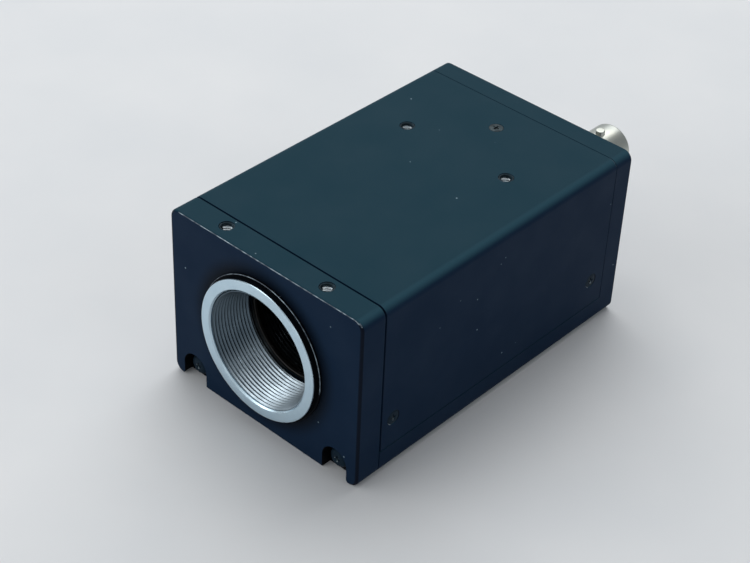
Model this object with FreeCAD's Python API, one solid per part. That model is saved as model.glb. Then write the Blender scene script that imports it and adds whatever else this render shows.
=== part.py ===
import FreeCAD, Part
import math
import os

# A compact machine-vision camera without its lens. Millimetres, +Z up, the lens mount looks along -Y.
# The origin is the middle of the housing's footprint, on the surface that the camera stands on.

# Housing
HOUSING_WIDTH = 50.0
HOUSING_DEPTH = 78.4
HOUSING_HEIGHT = 39.4
SECTION_RADIUS = 2.0
SHEET_THICKNESS = 0.8
COVER_GAP = 0.2
RAIL_GAP = 0.1
FIT = 0.05

# Front plate
FRONT_PLATE_THICKNESS = 5.9
FRONT_EDGE_CHAMFER = 0.6
LIP_WIDTH = 40.0
LIP_THICKNESS = 1.5
LIP_DEPTH = 2.0

# Lens mount ring, with a 1 inch by 32 turns thread
RING_RADIUS = 15.0
RING_COLLAR_LENGTH = 1.3
RING_FLANGE_WIDTH = 0.5
RING_FLANGE_THICKNESS = 0.5
RING_LENGTH = 10.5
RING_TAIL_RADIUS = 13.9
LENS_THREAD_RADIUS = 12.27
LENS_THREAD_ENTRY = 0.65
FLANGE_FOCAL_DISTANCE = 17.526

# Filter and sensor holder
HOLDER_SIZE = 30.6
HOLDER_EAR_HEIGHT = 8.0
HOLDER_DEPTH = 5.8
HOLDER_CLEARANCE = 0.2
FILTER_SIZE = 24.0
FILTER_THICKNESS = 1.0
RETAINER_RADIUS = 11.4
RETAINER_THICKNESS = 0.8
POST_SIZE = 4.0
POST_SPACING = 34.0
SEAL_WALL = 1.5

# Image sensor
PACKAGE_WIDTH = 15.0
PACKAGE_HEIGHT = 13.0
PACKAGE_THICKNESS = 3.6
PACKAGE_RIM = 1.5
WINDOW_LEDGE = 1.0
WINDOW_THICKNESS = 0.7
DIE_WIDTH = 8.0
DIE_HEIGHT = 6.4
DIE_THICKNESS = 0.5
DIE_DEPTH = 1.5
SENSOR_PIN_SIZE = 0.45
SENSOR_PIN_LENGTH = 0.6
SENSOR_PIN_PITCH = 1.78
SENSOR_PIN_ROW_SPACING = 12.0
SENSOR_PINS_PER_ROW = 7

# Chassis
FLOOR_THICKNESS = 3.0
RAIL_HEIGHT = 5.4
RAIL_THICKNESS = 2.4
REAR_FRAME_DEPTH = 4.7
LUG_THICKNESS = 4.0
LUG_HALF_WIDTH = 2.4
LUG_RISE = 3.0
FRONT_BLOCK_DEPTH = 8.0
FRONT_BLOCK_WALL = 3.2
TONGUE_LENGTH = 25.0
TONGUE_WIDTH = 36.0
TONGUE_THICKNESS = 2.8

# Tripod and bracket holes, the same four on the top and the foot
MOUNT_SPACING_X = 26.0
MOUNT_SPACING_Y = 50.0
MOUNT_FROM_FRONT = 3.4
MOUNT_HOLE_RADIUS = 1.25
MOUNT_HOLE_DEPTH = 5.0

# Countersunk screws of the cover
FLAT_HEAD_RADIUS = 1.5
FLAT_HEAD_HEIGHT = 0.4
FLAT_NECK_RADIUS = 1.1
FLAT_SHANK_FLATS = 1.8
FLAT_SCREW_LENGTH = 4.4
TOP_SCREW_FROM_FRONT = 65.9
SIDE_SCREW_FROM_FRONT = 9.5
SIDE_SCREW_SPACING = 60.0
SIDE_SCREW_HEIGHT = 12.1

# Screws of the front plate, in notches that are open at the foot
FRONT_SCREW_SPACING = 38.2
FRONT_SCREW_HEIGHT = 3.4
FRONT_HEAD_RADIUS = 2.1
FRONT_HEAD_HEIGHT = 1.6
FRONT_SHANK_FLATS = 2.2
FRONT_SCREW_LENGTH = 9.0
NOTCH_RADIUS = 3.15
NOTCH_DEPTH = 2.4

# Hexagon studs that clamp the sensor stack
STUD_FLATS = 1.9
STUD_HEAD_FLATS = 3.6
STUD_HEAD_HEIGHT = 1.3
STUD_GRIP = 1.6

# Rear wall
REAR_WALL_THICKNESS = 1.6
REAR_RIM = 3.2
CONNECTOR_INSET_X = 9.8
UPPER_ROW_INSET = 6.3
LOWER_ROW_INSET = 7.6
NUT_THICKNESS = 2.2

# Coaxial bayonet connector
COAX_LENGTH = 12.0
COAX_RADIUS = 4.85
COAX_BORE_RADIUS = 4.05
COAX_BORE_DEPTH = 7.6
COAX_FLANGE_RADIUS = 6.3
COAX_FLANGE_THICKNESS = 1.6
COAX_SHANK_RADIUS = 4.6
COAX_SHANK_LENGTH = 6.0
COAX_LUG_FLATS = 1.9
COAX_LUG_REACH = 5.75
COAX_LUG_FROM_END = 4.8
COAX_INSULATOR_RADIUS = 2.4
COAX_INSULATOR_SETBACK = 1.2
COAX_CONTACT_RADIUS = 1.05
COAX_SOCKET_RADIUS = 0.7
COAX_SOCKET_DEPTH = 4.5
COAX_NUT_FLATS = 11.0

# Round multi-pin socket
SOCKET_KEY_WIDTH = 1.2
SOCKET_KEY_DEPTH = 0.5
SOCKET_FLANGE_RADIUS = 6.9
SOCKET_FLANGE_THICKNESS = 2.0
SOCKET_BARREL_RADIUS = 5.3
SOCKET_BARREL_LENGTH = 6.4
SOCKET_BORE_RADIUS = 4.5
SOCKET_SHANK_RADIUS = 5.1
SOCKET_SHANK_LENGTH = 6.2
SOCKET_NUT_FLATS = 12.0
SOCKET_INSERT_FACE = 0.8
SOCKET_PIN_FLATS = 0.8
SOCKET_PIN_REACH = 3.4
SOCKET_OUTER_PINS = 9
SOCKET_OUTER_CIRCLE = 3.4
SOCKET_INNER_PINS = 3
SOCKET_INNER_CIRCLE = 1.4

# Screwdriver controls on the rear
CONTROL_SPACING = 8.5
CONTROL_RUNNING_CLEARANCE = 0.05
CONTROL_PANEL_CLEARANCE = 0.5
CONTROL_RECESS = 0.8
CONTROL_BODY_GAP = 1.0
CONTROL_SEAT_DEPTH = 4.0
SELECTOR_BODY_SIZE = 7.4
SELECTOR_ROTOR_RADIUS = 2.4
SELECTOR_SLOT_WIDTH = 0.8
TRIMMER_BODY_SIZE = 5.0
TRIMMER_ROTOR_RADIUS = 1.4
TRIMMER_SLOT_WIDTH = 0.5
CONTROL_SLOT_DEPTH = 0.8

# Circuit boards
BOARD_THICKNESS = 1.6
BOARD_CLEARANCE = 0.8
SENSOR_BOARD_WIDTH = 42.0
SENSOR_BOARD_HEIGHT = 29.0
REAR_BOARD_GAP = 8.6
MAIN_BOARD_FRONT_GAP = 3.0
LOWER_STANDOFF_HEIGHT = 5.0
UPPER_STANDOFF_HEIGHT = 13.0
STANDOFF_FLATS = 4.5
STANDOFF_SPACING_X = 35.0
STANDOFF_END_INSET = 4.0
STACK_HEADER_WIDTH = 3.0
STACK_HEADER_LENGTH = 22.0
STACK_HEADER_EDGE = 1.4
REAR_HEADER_WIDTH = 20.0
REAR_HEADER_HEIGHT = 4.0
REAR_HEADER_DEPTH = 4.0
RIBBON_WIDTH = 14.0
RIBBON_THICKNESS = 0.3
RIBBON_CONNECTOR_HEIGHT = 2.2
RIBBON_CONNECTOR_DEPTH = 3.0
RIBBON_PLUG_DEPTH = 1.4
CHIP_SIZE = 12.0
CHIP_THICKNESS = 1.8
CHIP_SPACING = 16.0
CAPACITOR_WIDTH = 4.3
CAPACITOR_LENGTH = 7.3
CAPACITOR_HEIGHT = 2.8
CAPACITOR_SPACING = 9.0
CAPACITOR_FROM_MIDDLE = 14.0
OSCILLATOR_WIDTH = 8.0
OSCILLATOR_LENGTH = 12.0
OSCILLATOR_HEIGHT = 4.0

# Places that follow from the sizes above
FRONT_Y = -HOUSING_DEPTH / 2
REAR_Y = HOUSING_DEPTH / 2
PLATE_BACK_Y = FRONT_Y + FRONT_PLATE_THICKNESS
FRAME_FRONT_Y = REAR_Y - REAR_FRAME_DEPTH
MIDDLE_Z = HOUSING_HEIGHT / 2
HALF_WIDTH = HOUSING_WIDTH / 2
INNER_HALF_WIDTH = HALF_WIDTH - SHEET_THICKNESS
COVER_UNDERSIDE_Z = HOUSING_HEIGHT - SHEET_THICKNESS
RING_FRONT_Y = FRONT_Y - RING_FLANGE_THICKNESS - RING_COLLAR_LENGTH
RING_BACK_Y = RING_FRONT_Y + RING_LENGTH
SENSOR_PLANE_Y = RING_FRONT_Y + FLANGE_FOCAL_DISTANCE
PACKAGE_FRONT_Y = SENSOR_PLANE_Y - DIE_DEPTH
PACKAGE_BACK_Y = PACKAGE_FRONT_Y + PACKAGE_THICKNESS
SENSOR_BOARD_FRONT_Y = PACKAGE_BACK_Y + SENSOR_PIN_LENGTH
SENSOR_BOARD_BACK_Y = SENSOR_BOARD_FRONT_Y + BOARD_THICKNESS
RETAINER_FRONT_Y = RING_BACK_Y + HOLDER_CLEARANCE
FILTER_FRONT_Y = RETAINER_FRONT_Y + RETAINER_THICKNESS
FILTER_BACK_Y = FILTER_FRONT_Y + FILTER_THICKNESS
HOLDER_BACK_Y = PLATE_BACK_Y + HOLDER_DEPTH
MOUNT_FRONT_Y = FRONT_Y + MOUNT_FROM_FRONT
MOUNT_REAR_Y = MOUNT_FRONT_Y + MOUNT_SPACING_Y
TOP_SCREW_Y = FRONT_Y + TOP_SCREW_FROM_FRONT
SIDE_SCREW_FRONT_Y = FRONT_Y + SIDE_SCREW_FROM_FRONT
SIDE_SCREW_REAR_Y = SIDE_SCREW_FRONT_Y + SIDE_SCREW_SPACING
TONGUE_UNDERSIDE_Z = COVER_UNDERSIDE_Z - TONGUE_THICKNESS
LUG_INNER_X = INNER_HALF_WIDTH - LUG_THICKNESS
WALL_INNER_Y = REAR_Y - REAR_WALL_THICKNESS
POCKET_HALF_WIDTH = HALF_WIDTH - REAR_RIM
CONNECTOR_X = POCKET_HALF_WIDTH - CONNECTOR_INSET_X
UPPER_ROW_Z = HOUSING_HEIGHT - REAR_RIM - UPPER_ROW_INSET
LOWER_ROW_Z = REAR_RIM + LOWER_ROW_INSET
SELECTOR_X = CONNECTOR_X - CONTROL_SPACING / 2
TRIMMER_X = CONNECTOR_X + CONTROL_SPACING / 2
REAR_BOARD_BACK_Y = WALL_INNER_Y - REAR_BOARD_GAP
REAR_BOARD_FRONT_Y = REAR_BOARD_BACK_Y - BOARD_THICKNESS
CONTROL_BODY_Y = WALL_INNER_Y - CONTROL_BODY_GAP
MAIN_BOARD_FRONT_Y = SENSOR_BOARD_BACK_Y + MAIN_BOARD_FRONT_GAP
MAIN_BOARD_REAR_Y = REAR_BOARD_FRONT_Y - BOARD_CLEARANCE
MAIN_BOARD_MIDDLE_Y = (MAIN_BOARD_FRONT_Y + MAIN_BOARD_REAR_Y) / 2
LOWER_BOARD_Z = FLOOR_THICKNESS + LOWER_STANDOFF_HEIGHT
LOWER_BOARD_TOP_Z = LOWER_BOARD_Z + BOARD_THICKNESS
UPPER_BOARD_Z = LOWER_BOARD_TOP_Z + UPPER_STANDOFF_HEIGHT
UPPER_BOARD_TOP_Z = UPPER_BOARD_Z + BOARD_THICKNESS
MAIN_BOARD_HALF_WIDTH = INNER_HALF_WIDTH - BOARD_CLEARANCE

UP = FreeCAD.Vector(0, 0, 1)
DOWN = FreeCAD.Vector(0, 0, -1)
FORWARD = FreeCAD.Vector(0, -1, 0)
BACKWARD = FreeCAD.Vector(0, 1, 0)
RIGHT = FreeCAD.Vector(1, 0, 0)
LEFT = FreeCAD.Vector(-1, 0, 0)


def point(x, y, z):
    return FreeCAD.Vector(x, y, z)


def box(x_start, x_end, y_start, y_end, z_start, z_end):
    corner = point(x_start, y_start, z_start)
    return Part.makeBox(x_end - x_start, y_end - y_start, z_end - z_start, corner)


def block_about(x, z, width, height, y_start, y_end):
    """A box centred on (x, z), running along Y."""
    return box(x - width / 2, x + width / 2, y_start, y_end, z - height / 2, z + height / 2)


def cylinder_y(radius, y_start, y_end, x, z):
    return Part.makeCylinder(radius, y_end - y_start, point(x, y_start, z), BACKWARD)


def cylinder_z(radius, z_start, z_end, x, y):
    return Part.makeCylinder(radius, z_end - z_start, point(x, y, z_start), UP)


def join(shapes):
    """One clean solid from pieces that overlap or touch."""
    return shapes[0].fuse(shapes[1:]).removeSplitter()


def turned(profile, position, axis):
    """Turn a closed outline of (radius, height) points about an axis through position."""
    corners = [point(radius, 0, height) for radius, height in profile]
    outline = Part.makePolygon(corners + corners[:1])
    solid = Part.Face(outline).revolve(point(0, 0, 0), UP, 360)
    solid.Placement = FreeCAD.Placement(position, FreeCAD.Rotation(UP, axis))
    return solid


def rounded_block(width, height, radius, y_start, y_end, z_middle):
    """A bar along Y whose cross-section is a rectangle with round corners."""
    bar = block_about(0, z_middle, width, height, y_start, y_end)
    long_edges = [edge for edge in bar.Edges if edge.BoundBox.YLength > 0 and edge.BoundBox.XLength < FIT]
    long_edges = [edge for edge in long_edges if edge.BoundBox.ZLength < FIT]
    return bar.makeFillet(radius, long_edges)


def housing_bar(y_start, y_end, inset=0.0):
    """The housing's outer section, or one set in from it all round, as a bar along Y."""
    width = HOUSING_WIDTH - 2 * inset
    height = HOUSING_HEIGHT - 2 * inset
    return rounded_block(width, height, SECTION_RADIUS - inset, y_start, y_end, MIDDLE_Z)


def hexagon_bar(flats, start, length, axis):
    """A six-sided bar with two flats level when the bar lies along Y."""
    radius = flats / math.sqrt(3)
    corners = []
    for corner in range(6):
        angle = math.radians(60 * corner)
        corners.append(point(radius * math.cos(angle), radius * math.sin(angle), 0))
    bar = Part.Face(Part.makePolygon(corners + corners[:1])).extrude(point(0, 0, length))
    bar.Placement = FreeCAD.Placement(start, FreeCAD.Rotation(UP, axis))
    return bar


def shank_hole(flats, start, length, axis):
    """Room for a six-sided shank, wider and deeper by the fit."""
    return hexagon_bar(flats + 2 * FIT, start, length + FIT, axis)


def flat_screw(position, outward):
    """A countersunk screw with its head flush at position and a plain six-sided shank in place of a thread."""
    profile = [(0, 0), (FLAT_HEAD_RADIUS, 0), (FLAT_NECK_RADIUS, -FLAT_HEAD_HEIGHT), (0, -FLAT_HEAD_HEIGHT)]
    head = turned(profile, position, outward)
    neck = position - outward * FLAT_HEAD_HEIGHT
    return join([head, hexagon_bar(FLAT_SHANK_FLATS, neck, FLAT_SCREW_LENGTH - FLAT_HEAD_HEIGHT, -outward)])


def flat_screw_hole(position, outward):
    """The countersunk hole that a flat screw goes into."""
    head = FLAT_HEAD_RADIUS + FIT
    neck = FLAT_NECK_RADIUS + FIT
    above = FLAT_HEAD_HEIGHT
    profile = [(0, above), (head, above), (head, 0), (neck, -above), (0, -above)]
    shank = shank_hole(FLAT_SHANK_FLATS, position, FLAT_SCREW_LENGTH, -outward)
    return join([turned(profile, position, outward), shank])


def mount_columns():
    return (-MOUNT_SPACING_X / 2, MOUNT_SPACING_X / 2)


def front_screw_columns():
    return (-FRONT_SCREW_SPACING / 2, FRONT_SCREW_SPACING / 2)


def post_columns():
    return (-POST_SPACING / 2, POST_SPACING / 2)


def stud_hole(x, y_start, y_end):
    """Room for a stud of the sensor stack."""
    return shank_hole(STUD_FLATS, point(x, y_start, MIDDLE_Z), y_end - y_start, BACKWARD)


def side_screw_places():
    """Position and outward direction of the two cover screws on each side."""
    places = []
    for y in (SIDE_SCREW_FRONT_Y, SIDE_SCREW_REAR_Y):
        places.append((point(HALF_WIDTH, y, SIDE_SCREW_HEIGHT), RIGHT))
        places.append((point(-HALF_WIDTH, y, SIDE_SCREW_HEIGHT), LEFT))
    return places


def cover_screw_places():
    return side_screw_places() + [(point(0, TOP_SCREW_Y, HOUSING_HEIGHT), UP)]


def standoff_places():
    """The four (x, y) places that carry the two main boards."""
    places = []
    for x in (-STANDOFF_SPACING_X / 2, STANDOFF_SPACING_X / 2):
        for y in (MAIN_BOARD_FRONT_Y + STANDOFF_END_INSET, MAIN_BOARD_REAR_Y - STANDOFF_END_INSET):
            places.append((x, y))
    return places


def front_plate():
    plate = housing_bar(FRONT_Y, PLATE_BACK_Y)
    front_edges = [edge for edge in plate.Edges if edge.BoundBox.YMax < FRONT_Y + FIT]
    plate = plate.makeChamfer(FRONT_EDGE_CHAMFER, front_edges)
    lip_top = COVER_UNDERSIDE_Z - FIT
    lip_back = PLATE_BACK_Y + LIP_DEPTH
    lip = box(-LIP_WIDTH / 2, LIP_WIDTH / 2, PLATE_BACK_Y, lip_back, lip_top - LIP_THICKNESS, lip_top)
    plate = join([plate, lip])
    cuts = [cylinder_y(RING_TAIL_RADIUS + FIT, FRONT_Y - FIT, PLATE_BACK_Y + FIT, 0, MIDDLE_Z)]
    for x in front_screw_columns():
        notch_end = FRONT_Y + NOTCH_DEPTH
        cuts.append(cylinder_y(NOTCH_RADIUS, FRONT_Y, notch_end, x, FRONT_SCREW_HEIGHT))
        cuts.append(box(x - NOTCH_RADIUS, x + NOTCH_RADIUS, FRONT_Y, notch_end, 0, FRONT_SCREW_HEIGHT))
        hole_start = point(x, FRONT_Y, FRONT_SCREW_HEIGHT)
        cuts.append(shank_hole(FRONT_SHANK_FLATS, hole_start, FRONT_PLATE_THICKNESS, BACKWARD))
    for x in mount_columns():
        upper_floor = HOUSING_HEIGHT - MOUNT_HOLE_DEPTH
        cuts.append(cylinder_z(MOUNT_HOLE_RADIUS, upper_floor, HOUSING_HEIGHT + FIT, x, MOUNT_FRONT_Y))
        cuts.append(cylinder_z(MOUNT_HOLE_RADIUS, -FIT, MOUNT_HOLE_DEPTH, x, MOUNT_FRONT_Y))
    for x in post_columns():
        cuts.append(stud_hole(x, PLATE_BACK_Y - STUD_GRIP - FIT, PLATE_BACK_Y))
    return plate.cut(cuts)


def lens_mount_ring():
    """The ring that a lens screws into, seated on the front plate by a thin flange behind its collar."""
    flange_front = -RING_COLLAR_LENGTH
    flange_back = flange_front - RING_FLANGE_THICKNESS
    flange_radius = RING_RADIUS + RING_FLANGE_WIDTH
    profile = [
        (LENS_THREAD_RADIUS + LENS_THREAD_ENTRY, 0),
        (RING_RADIUS, 0),
        (RING_RADIUS, flange_front),
        (flange_radius, flange_front),
        (flange_radius, flange_back),
        (RING_TAIL_RADIUS, flange_back),
        (RING_TAIL_RADIUS, -RING_LENGTH),
        (LENS_THREAD_RADIUS, -RING_LENGTH),
        (LENS_THREAD_RADIUS, -LENS_THREAD_ENTRY),
    ]
    return turned(profile, point(0, RING_FRONT_Y, MIDDLE_Z), FORWARD)


def top_cover():
    cover_front = PLATE_BACK_Y + COVER_GAP
    cover_back = FRAME_FRONT_Y - COVER_GAP
    shell = housing_bar(cover_front, cover_back)
    hollow = housing_bar(cover_front, cover_back, SHEET_THICKNESS)
    foot = box(-HALF_WIDTH, HALF_WIDTH, cover_front, cover_back, 0, RAIL_HEIGHT + RAIL_GAP)
    cuts = [hollow, foot]
    for position, outward in cover_screw_places():
        cuts.append(flat_screw_hole(position, outward))
    for x in mount_columns():
        cuts.append(cylinder_z(MOUNT_HOLE_RADIUS, COVER_UNDERSIDE_Z, HOUSING_HEIGHT, x, MOUNT_REAR_Y))
    return shell.cut(cuts)


def chassis():
    base_front = PLATE_BACK_Y + COVER_GAP
    base = housing_bar(base_front, FRAME_FRONT_Y)
    base = base.common(box(-HALF_WIDTH, HALF_WIDTH, base_front, FRAME_FRONT_Y, 0, RAIL_HEIGHT))
    trough_half = HALF_WIDTH - RAIL_THICKNESS
    trough = box(-trough_half, trough_half, base_front, FRAME_FRONT_Y, FLOOR_THICKNESS, RAIL_HEIGHT)
    solids = [base.cut(trough), rear_wall()]
    tongue_front = FRAME_FRONT_Y - TONGUE_LENGTH
    tongue_half = TONGUE_WIDTH / 2
    solids.append(
        box(-tongue_half, tongue_half, tongue_front, FRAME_FRONT_Y, TONGUE_UNDERSIDE_Z, COVER_UNDERSIDE_Z)
    )
    lug_top = SIDE_SCREW_HEIGHT + LUG_RISE
    for side in (-1, 1):
        inner = side * LUG_INNER_X
        outer = side * INNER_HALF_WIDTH
        low, high = sorted((inner, outer))
        front_lug_back = SIDE_SCREW_FRONT_Y + LUG_HALF_WIDTH
        rear_lug_front = SIDE_SCREW_REAR_Y - LUG_HALF_WIDTH
        solids.append(box(low, high, PLATE_BACK_Y, front_lug_back, FLOOR_THICKNESS, lug_top))
        solids.append(box(low, high, rear_lug_front, FRAME_FRONT_Y, FLOOR_THICKNESS, lug_top))
        block_inner = side * (FRONT_SCREW_SPACING / 2 - FRONT_BLOCK_WALL)
        low, high = sorted((block_inner, outer))
        block_top = FRONT_SCREW_HEIGHT + FRONT_BLOCK_WALL
        block_back = PLATE_BACK_Y + FRONT_BLOCK_DEPTH
        solids.append(box(low, high, PLATE_BACK_Y, block_back, SECTION_RADIUS, block_top))
    frame = join(solids)
    holder_room = HOLDER_SIZE + 2 * HOLDER_CLEARANCE
    cuts = [block_about(0, MIDDLE_Z, holder_room, holder_room, PLATE_BACK_Y, HOLDER_BACK_Y + HOLDER_CLEARANCE)]
    for x in front_screw_columns():
        seat = point(x, FRONT_Y + NOTCH_DEPTH, FRONT_SCREW_HEIGHT)
        cuts.append(shank_hole(FRONT_SHANK_FLATS, seat, FRONT_SCREW_LENGTH, BACKWARD))
    for x in mount_columns():
        cuts.append(cylinder_z(MOUNT_HOLE_RADIUS, -FIT, FLOOR_THICKNESS + FIT, x, MOUNT_REAR_Y))
        cuts.append(
            cylinder_z(MOUNT_HOLE_RADIUS, TONGUE_UNDERSIDE_Z - FIT, COVER_UNDERSIDE_Z + FIT, x, MOUNT_REAR_Y)
        )
    for position, outward in cover_screw_places():
        cuts.append(flat_screw_hole(position, outward))
    for radius, x, z in rear_holes():
        cuts.append(cylinder_y(radius, WALL_INNER_Y - FIT, REAR_Y + FIT, x, z))
    return frame.cut(cuts)


def rear_wall():
    """The wall that closes the housing's rear, thinned inside a rim so that the connectors reach through."""
    wall = housing_bar(FRAME_FRONT_Y, REAR_Y)
    width = 2 * POCKET_HALF_WIDTH
    height = HOUSING_HEIGHT - 2 * REAR_RIM
    return wall.cut(block_about(0, MIDDLE_Z, width, height, FRAME_FRONT_Y, WALL_INNER_Y))


def rear_holes():
    """Radius and (x, z) place of each hole in the rear wall."""
    return [
        (COAX_SHANK_RADIUS + FIT, CONNECTOR_X, UPPER_ROW_Z),
        (SOCKET_SHANK_RADIUS + FIT, -CONNECTOR_X, LOWER_ROW_Z),
        (SELECTOR_ROTOR_RADIUS + CONTROL_PANEL_CLEARANCE, SELECTOR_X, LOWER_ROW_Z),
        (TRIMMER_ROTOR_RADIUS + CONTROL_PANEL_CLEARANCE, TRIMMER_X, LOWER_ROW_Z),
    ]


def cover_screws():
    return Part.makeCompound([flat_screw(position, outward) for position, outward in cover_screw_places()])


def front_plate_screws():
    """Cylindrical heads that stand in the notches, on plain six-sided shanks in place of threads."""
    screws = []
    for x in front_screw_columns():
        seat = point(x, FRONT_Y + NOTCH_DEPTH, FRONT_SCREW_HEIGHT)
        head = Part.makeCylinder(FRONT_HEAD_RADIUS, FRONT_HEAD_HEIGHT, seat, FORWARD)
        screws.append(join([head, hexagon_bar(FRONT_SHANK_FLATS, seat, FRONT_SCREW_LENGTH, BACKWARD)]))
    return Part.makeCompound(screws)


def sensor_holder():
    """The carrier behind the lens mount, with a pocket for the filter and a post on each ear."""
    solids = [
        block_about(0, MIDDLE_Z, HOLDER_SIZE, HOLDER_SIZE, PLATE_BACK_Y, HOLDER_BACK_Y),
        block_about(0, MIDDLE_Z, POST_SPACING + POST_SIZE, HOLDER_EAR_HEIGHT, PLATE_BACK_Y, HOLDER_BACK_Y),
    ]
    for x in post_columns():
        solids.append(block_about(x, MIDDLE_Z, POST_SIZE, POST_SIZE, HOLDER_BACK_Y, SENSOR_BOARD_FRONT_Y))
    pocket_size = FILTER_SIZE + 2 * FIT
    cuts = [
        cylinder_y(RING_TAIL_RADIUS + HOLDER_CLEARANCE, PLATE_BACK_Y, RETAINER_FRONT_Y, 0, MIDDLE_Z),
        block_about(0, MIDDLE_Z, pocket_size, pocket_size, RETAINER_FRONT_Y, HOLDER_BACK_Y),
    ]
    for x in post_columns():
        cuts.append(stud_hole(x, PLATE_BACK_Y, SENSOR_BOARD_FRONT_Y))
    return join(solids).cut(cuts)


def filter_retainer():
    """The square plate with a round window that stands between the filter and the holder's shoulder."""
    plate = block_about(0, MIDDLE_Z, FILTER_SIZE, FILTER_SIZE, RETAINER_FRONT_Y, FILTER_FRONT_Y)
    return plate.cut(cylinder_y(RETAINER_RADIUS, RETAINER_FRONT_Y, FILTER_FRONT_Y, 0, MIDDLE_Z))


def filter_glass():
    return block_about(0, MIDDLE_Z, FILTER_SIZE, FILTER_SIZE, FILTER_FRONT_Y, FILTER_BACK_Y)


def sensor_seal():
    """The rubber frame that presses the filter forward and keeps dust off the sensor."""
    outer = block_about(0, MIDDLE_Z, PACKAGE_WIDTH, PACKAGE_HEIGHT, FILTER_BACK_Y, PACKAGE_FRONT_Y)
    inner_width = PACKAGE_WIDTH - 2 * SEAL_WALL
    inner_height = PACKAGE_HEIGHT - 2 * SEAL_WALL
    return outer.cut(block_about(0, MIDDLE_Z, inner_width, inner_height, FILTER_BACK_Y, PACKAGE_FRONT_Y))


def window_size():
    return (PACKAGE_WIDTH - 2 * PACKAGE_RIM, PACKAGE_HEIGHT - 2 * PACKAGE_RIM)


def sensor_package():
    body = block_about(0, MIDDLE_Z, PACKAGE_WIDTH, PACKAGE_HEIGHT, PACKAGE_FRONT_Y, PACKAGE_BACK_Y)
    width, height = window_size()
    window_seat = block_about(
        0, MIDDLE_Z, width + 2 * FIT, height + 2 * FIT, PACKAGE_FRONT_Y, PACKAGE_FRONT_Y + WINDOW_THICKNESS
    )
    cavity_width = width - 2 * WINDOW_LEDGE
    cavity_height = height - 2 * WINDOW_LEDGE
    cavity_floor = SENSOR_PLANE_Y + DIE_THICKNESS
    cavity = block_about(0, MIDDLE_Z, cavity_width, cavity_height, PACKAGE_FRONT_Y, cavity_floor)
    return body.cut([window_seat, cavity])


def sensor_window():
    width, height = window_size()
    return block_about(0, MIDDLE_Z, width, height, PACKAGE_FRONT_Y, PACKAGE_FRONT_Y + WINDOW_THICKNESS)


def sensor_die():
    return block_about(0, MIDDLE_Z, DIE_WIDTH, DIE_HEIGHT, SENSOR_PLANE_Y, SENSOR_PLANE_Y + DIE_THICKNESS)


def sensor_pins():
    pins = []
    first_z = MIDDLE_Z - SENSOR_PIN_PITCH * (SENSOR_PINS_PER_ROW - 1) / 2
    for x in (-SENSOR_PIN_ROW_SPACING / 2, SENSOR_PIN_ROW_SPACING / 2):
        for index in range(SENSOR_PINS_PER_ROW):
            z = first_z + index * SENSOR_PIN_PITCH
            size = SENSOR_PIN_SIZE
            pins.append(block_about(x, z, size, size, PACKAGE_BACK_Y, SENSOR_BOARD_FRONT_Y))
    return Part.makeCompound(pins)


def sensor_board():
    board = block_about(
        0, MIDDLE_Z, SENSOR_BOARD_WIDTH, SENSOR_BOARD_HEIGHT, SENSOR_BOARD_FRONT_Y, SENSOR_BOARD_BACK_Y
    )
    return board.cut([stud_hole(x, SENSOR_BOARD_FRONT_Y, SENSOR_BOARD_BACK_Y) for x in post_columns()])


def sensor_studs():
    """Two long studs with hexagon heads that clamp the sensor board and the holder to the front plate."""
    length = SENSOR_BOARD_BACK_Y - PLATE_BACK_Y + STUD_GRIP
    studs = []
    for x in post_columns():
        seat = point(x, SENSOR_BOARD_BACK_Y, MIDDLE_Z)
        head = hexagon_bar(STUD_HEAD_FLATS, seat, STUD_HEAD_HEIGHT, BACKWARD)
        studs.append(join([head, hexagon_bar(STUD_FLATS, seat, length, FORWARD)]))
    return Part.makeCompound(studs)


def main_board(z_start):
    half = MAIN_BOARD_HALF_WIDTH
    return box(-half, half, MAIN_BOARD_FRONT_Y, MAIN_BOARD_REAR_Y, z_start, z_start + BOARD_THICKNESS)


def standoffs(z_start, height):
    """Hexagon pillars under a main board."""
    feet = [point(x, y, z_start) for x, y in standoff_places()]
    return Part.makeCompound([hexagon_bar(STANDOFF_FLATS, foot, height, UP) for foot in feet])


def stack_header():
    x_start = STACK_HEADER_EDGE - MAIN_BOARD_HALF_WIDTH
    y_start = MAIN_BOARD_MIDDLE_Y - STACK_HEADER_LENGTH / 2
    y_end = MAIN_BOARD_MIDDLE_Y + STACK_HEADER_LENGTH / 2
    return box(x_start, x_start + STACK_HEADER_WIDTH, y_start, y_end, LOWER_BOARD_TOP_Z, UPPER_BOARD_Z)


def chips():
    """Two video chips on the upper board and a timing chip on the lower one."""
    half = CHIP_SIZE / 2
    places = [
        (-CHIP_SPACING / 2, MAIN_BOARD_MIDDLE_Y, UPPER_BOARD_TOP_Z),
        (CHIP_SPACING / 2, MAIN_BOARD_MIDDLE_Y, UPPER_BOARD_TOP_Z),
        (-CHIP_SPACING / 2, MAIN_BOARD_MIDDLE_Y, LOWER_BOARD_TOP_Z),
    ]
    blocks = [box(x - half, x + half, y - half, y + half, z, z + CHIP_THICKNESS) for x, y, z in places]
    return Part.makeCompound(blocks)


def capacitors():
    """A row of moulded capacitors on the lower board."""
    half_width = CAPACITOR_WIDTH / 2
    half_length = CAPACITOR_LENGTH / 2
    top = LOWER_BOARD_TOP_Z + CAPACITOR_HEIGHT
    x_start = CAPACITOR_FROM_MIDDLE - half_width
    x_end = CAPACITOR_FROM_MIDDLE + half_width
    blocks = []
    for index in (-1, 0, 1):
        y = MAIN_BOARD_MIDDLE_Y + index * CAPACITOR_SPACING
        blocks.append(box(x_start, x_end, y - half_length, y + half_length, LOWER_BOARD_TOP_Z, top))
    return Part.makeCompound(blocks)


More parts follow.
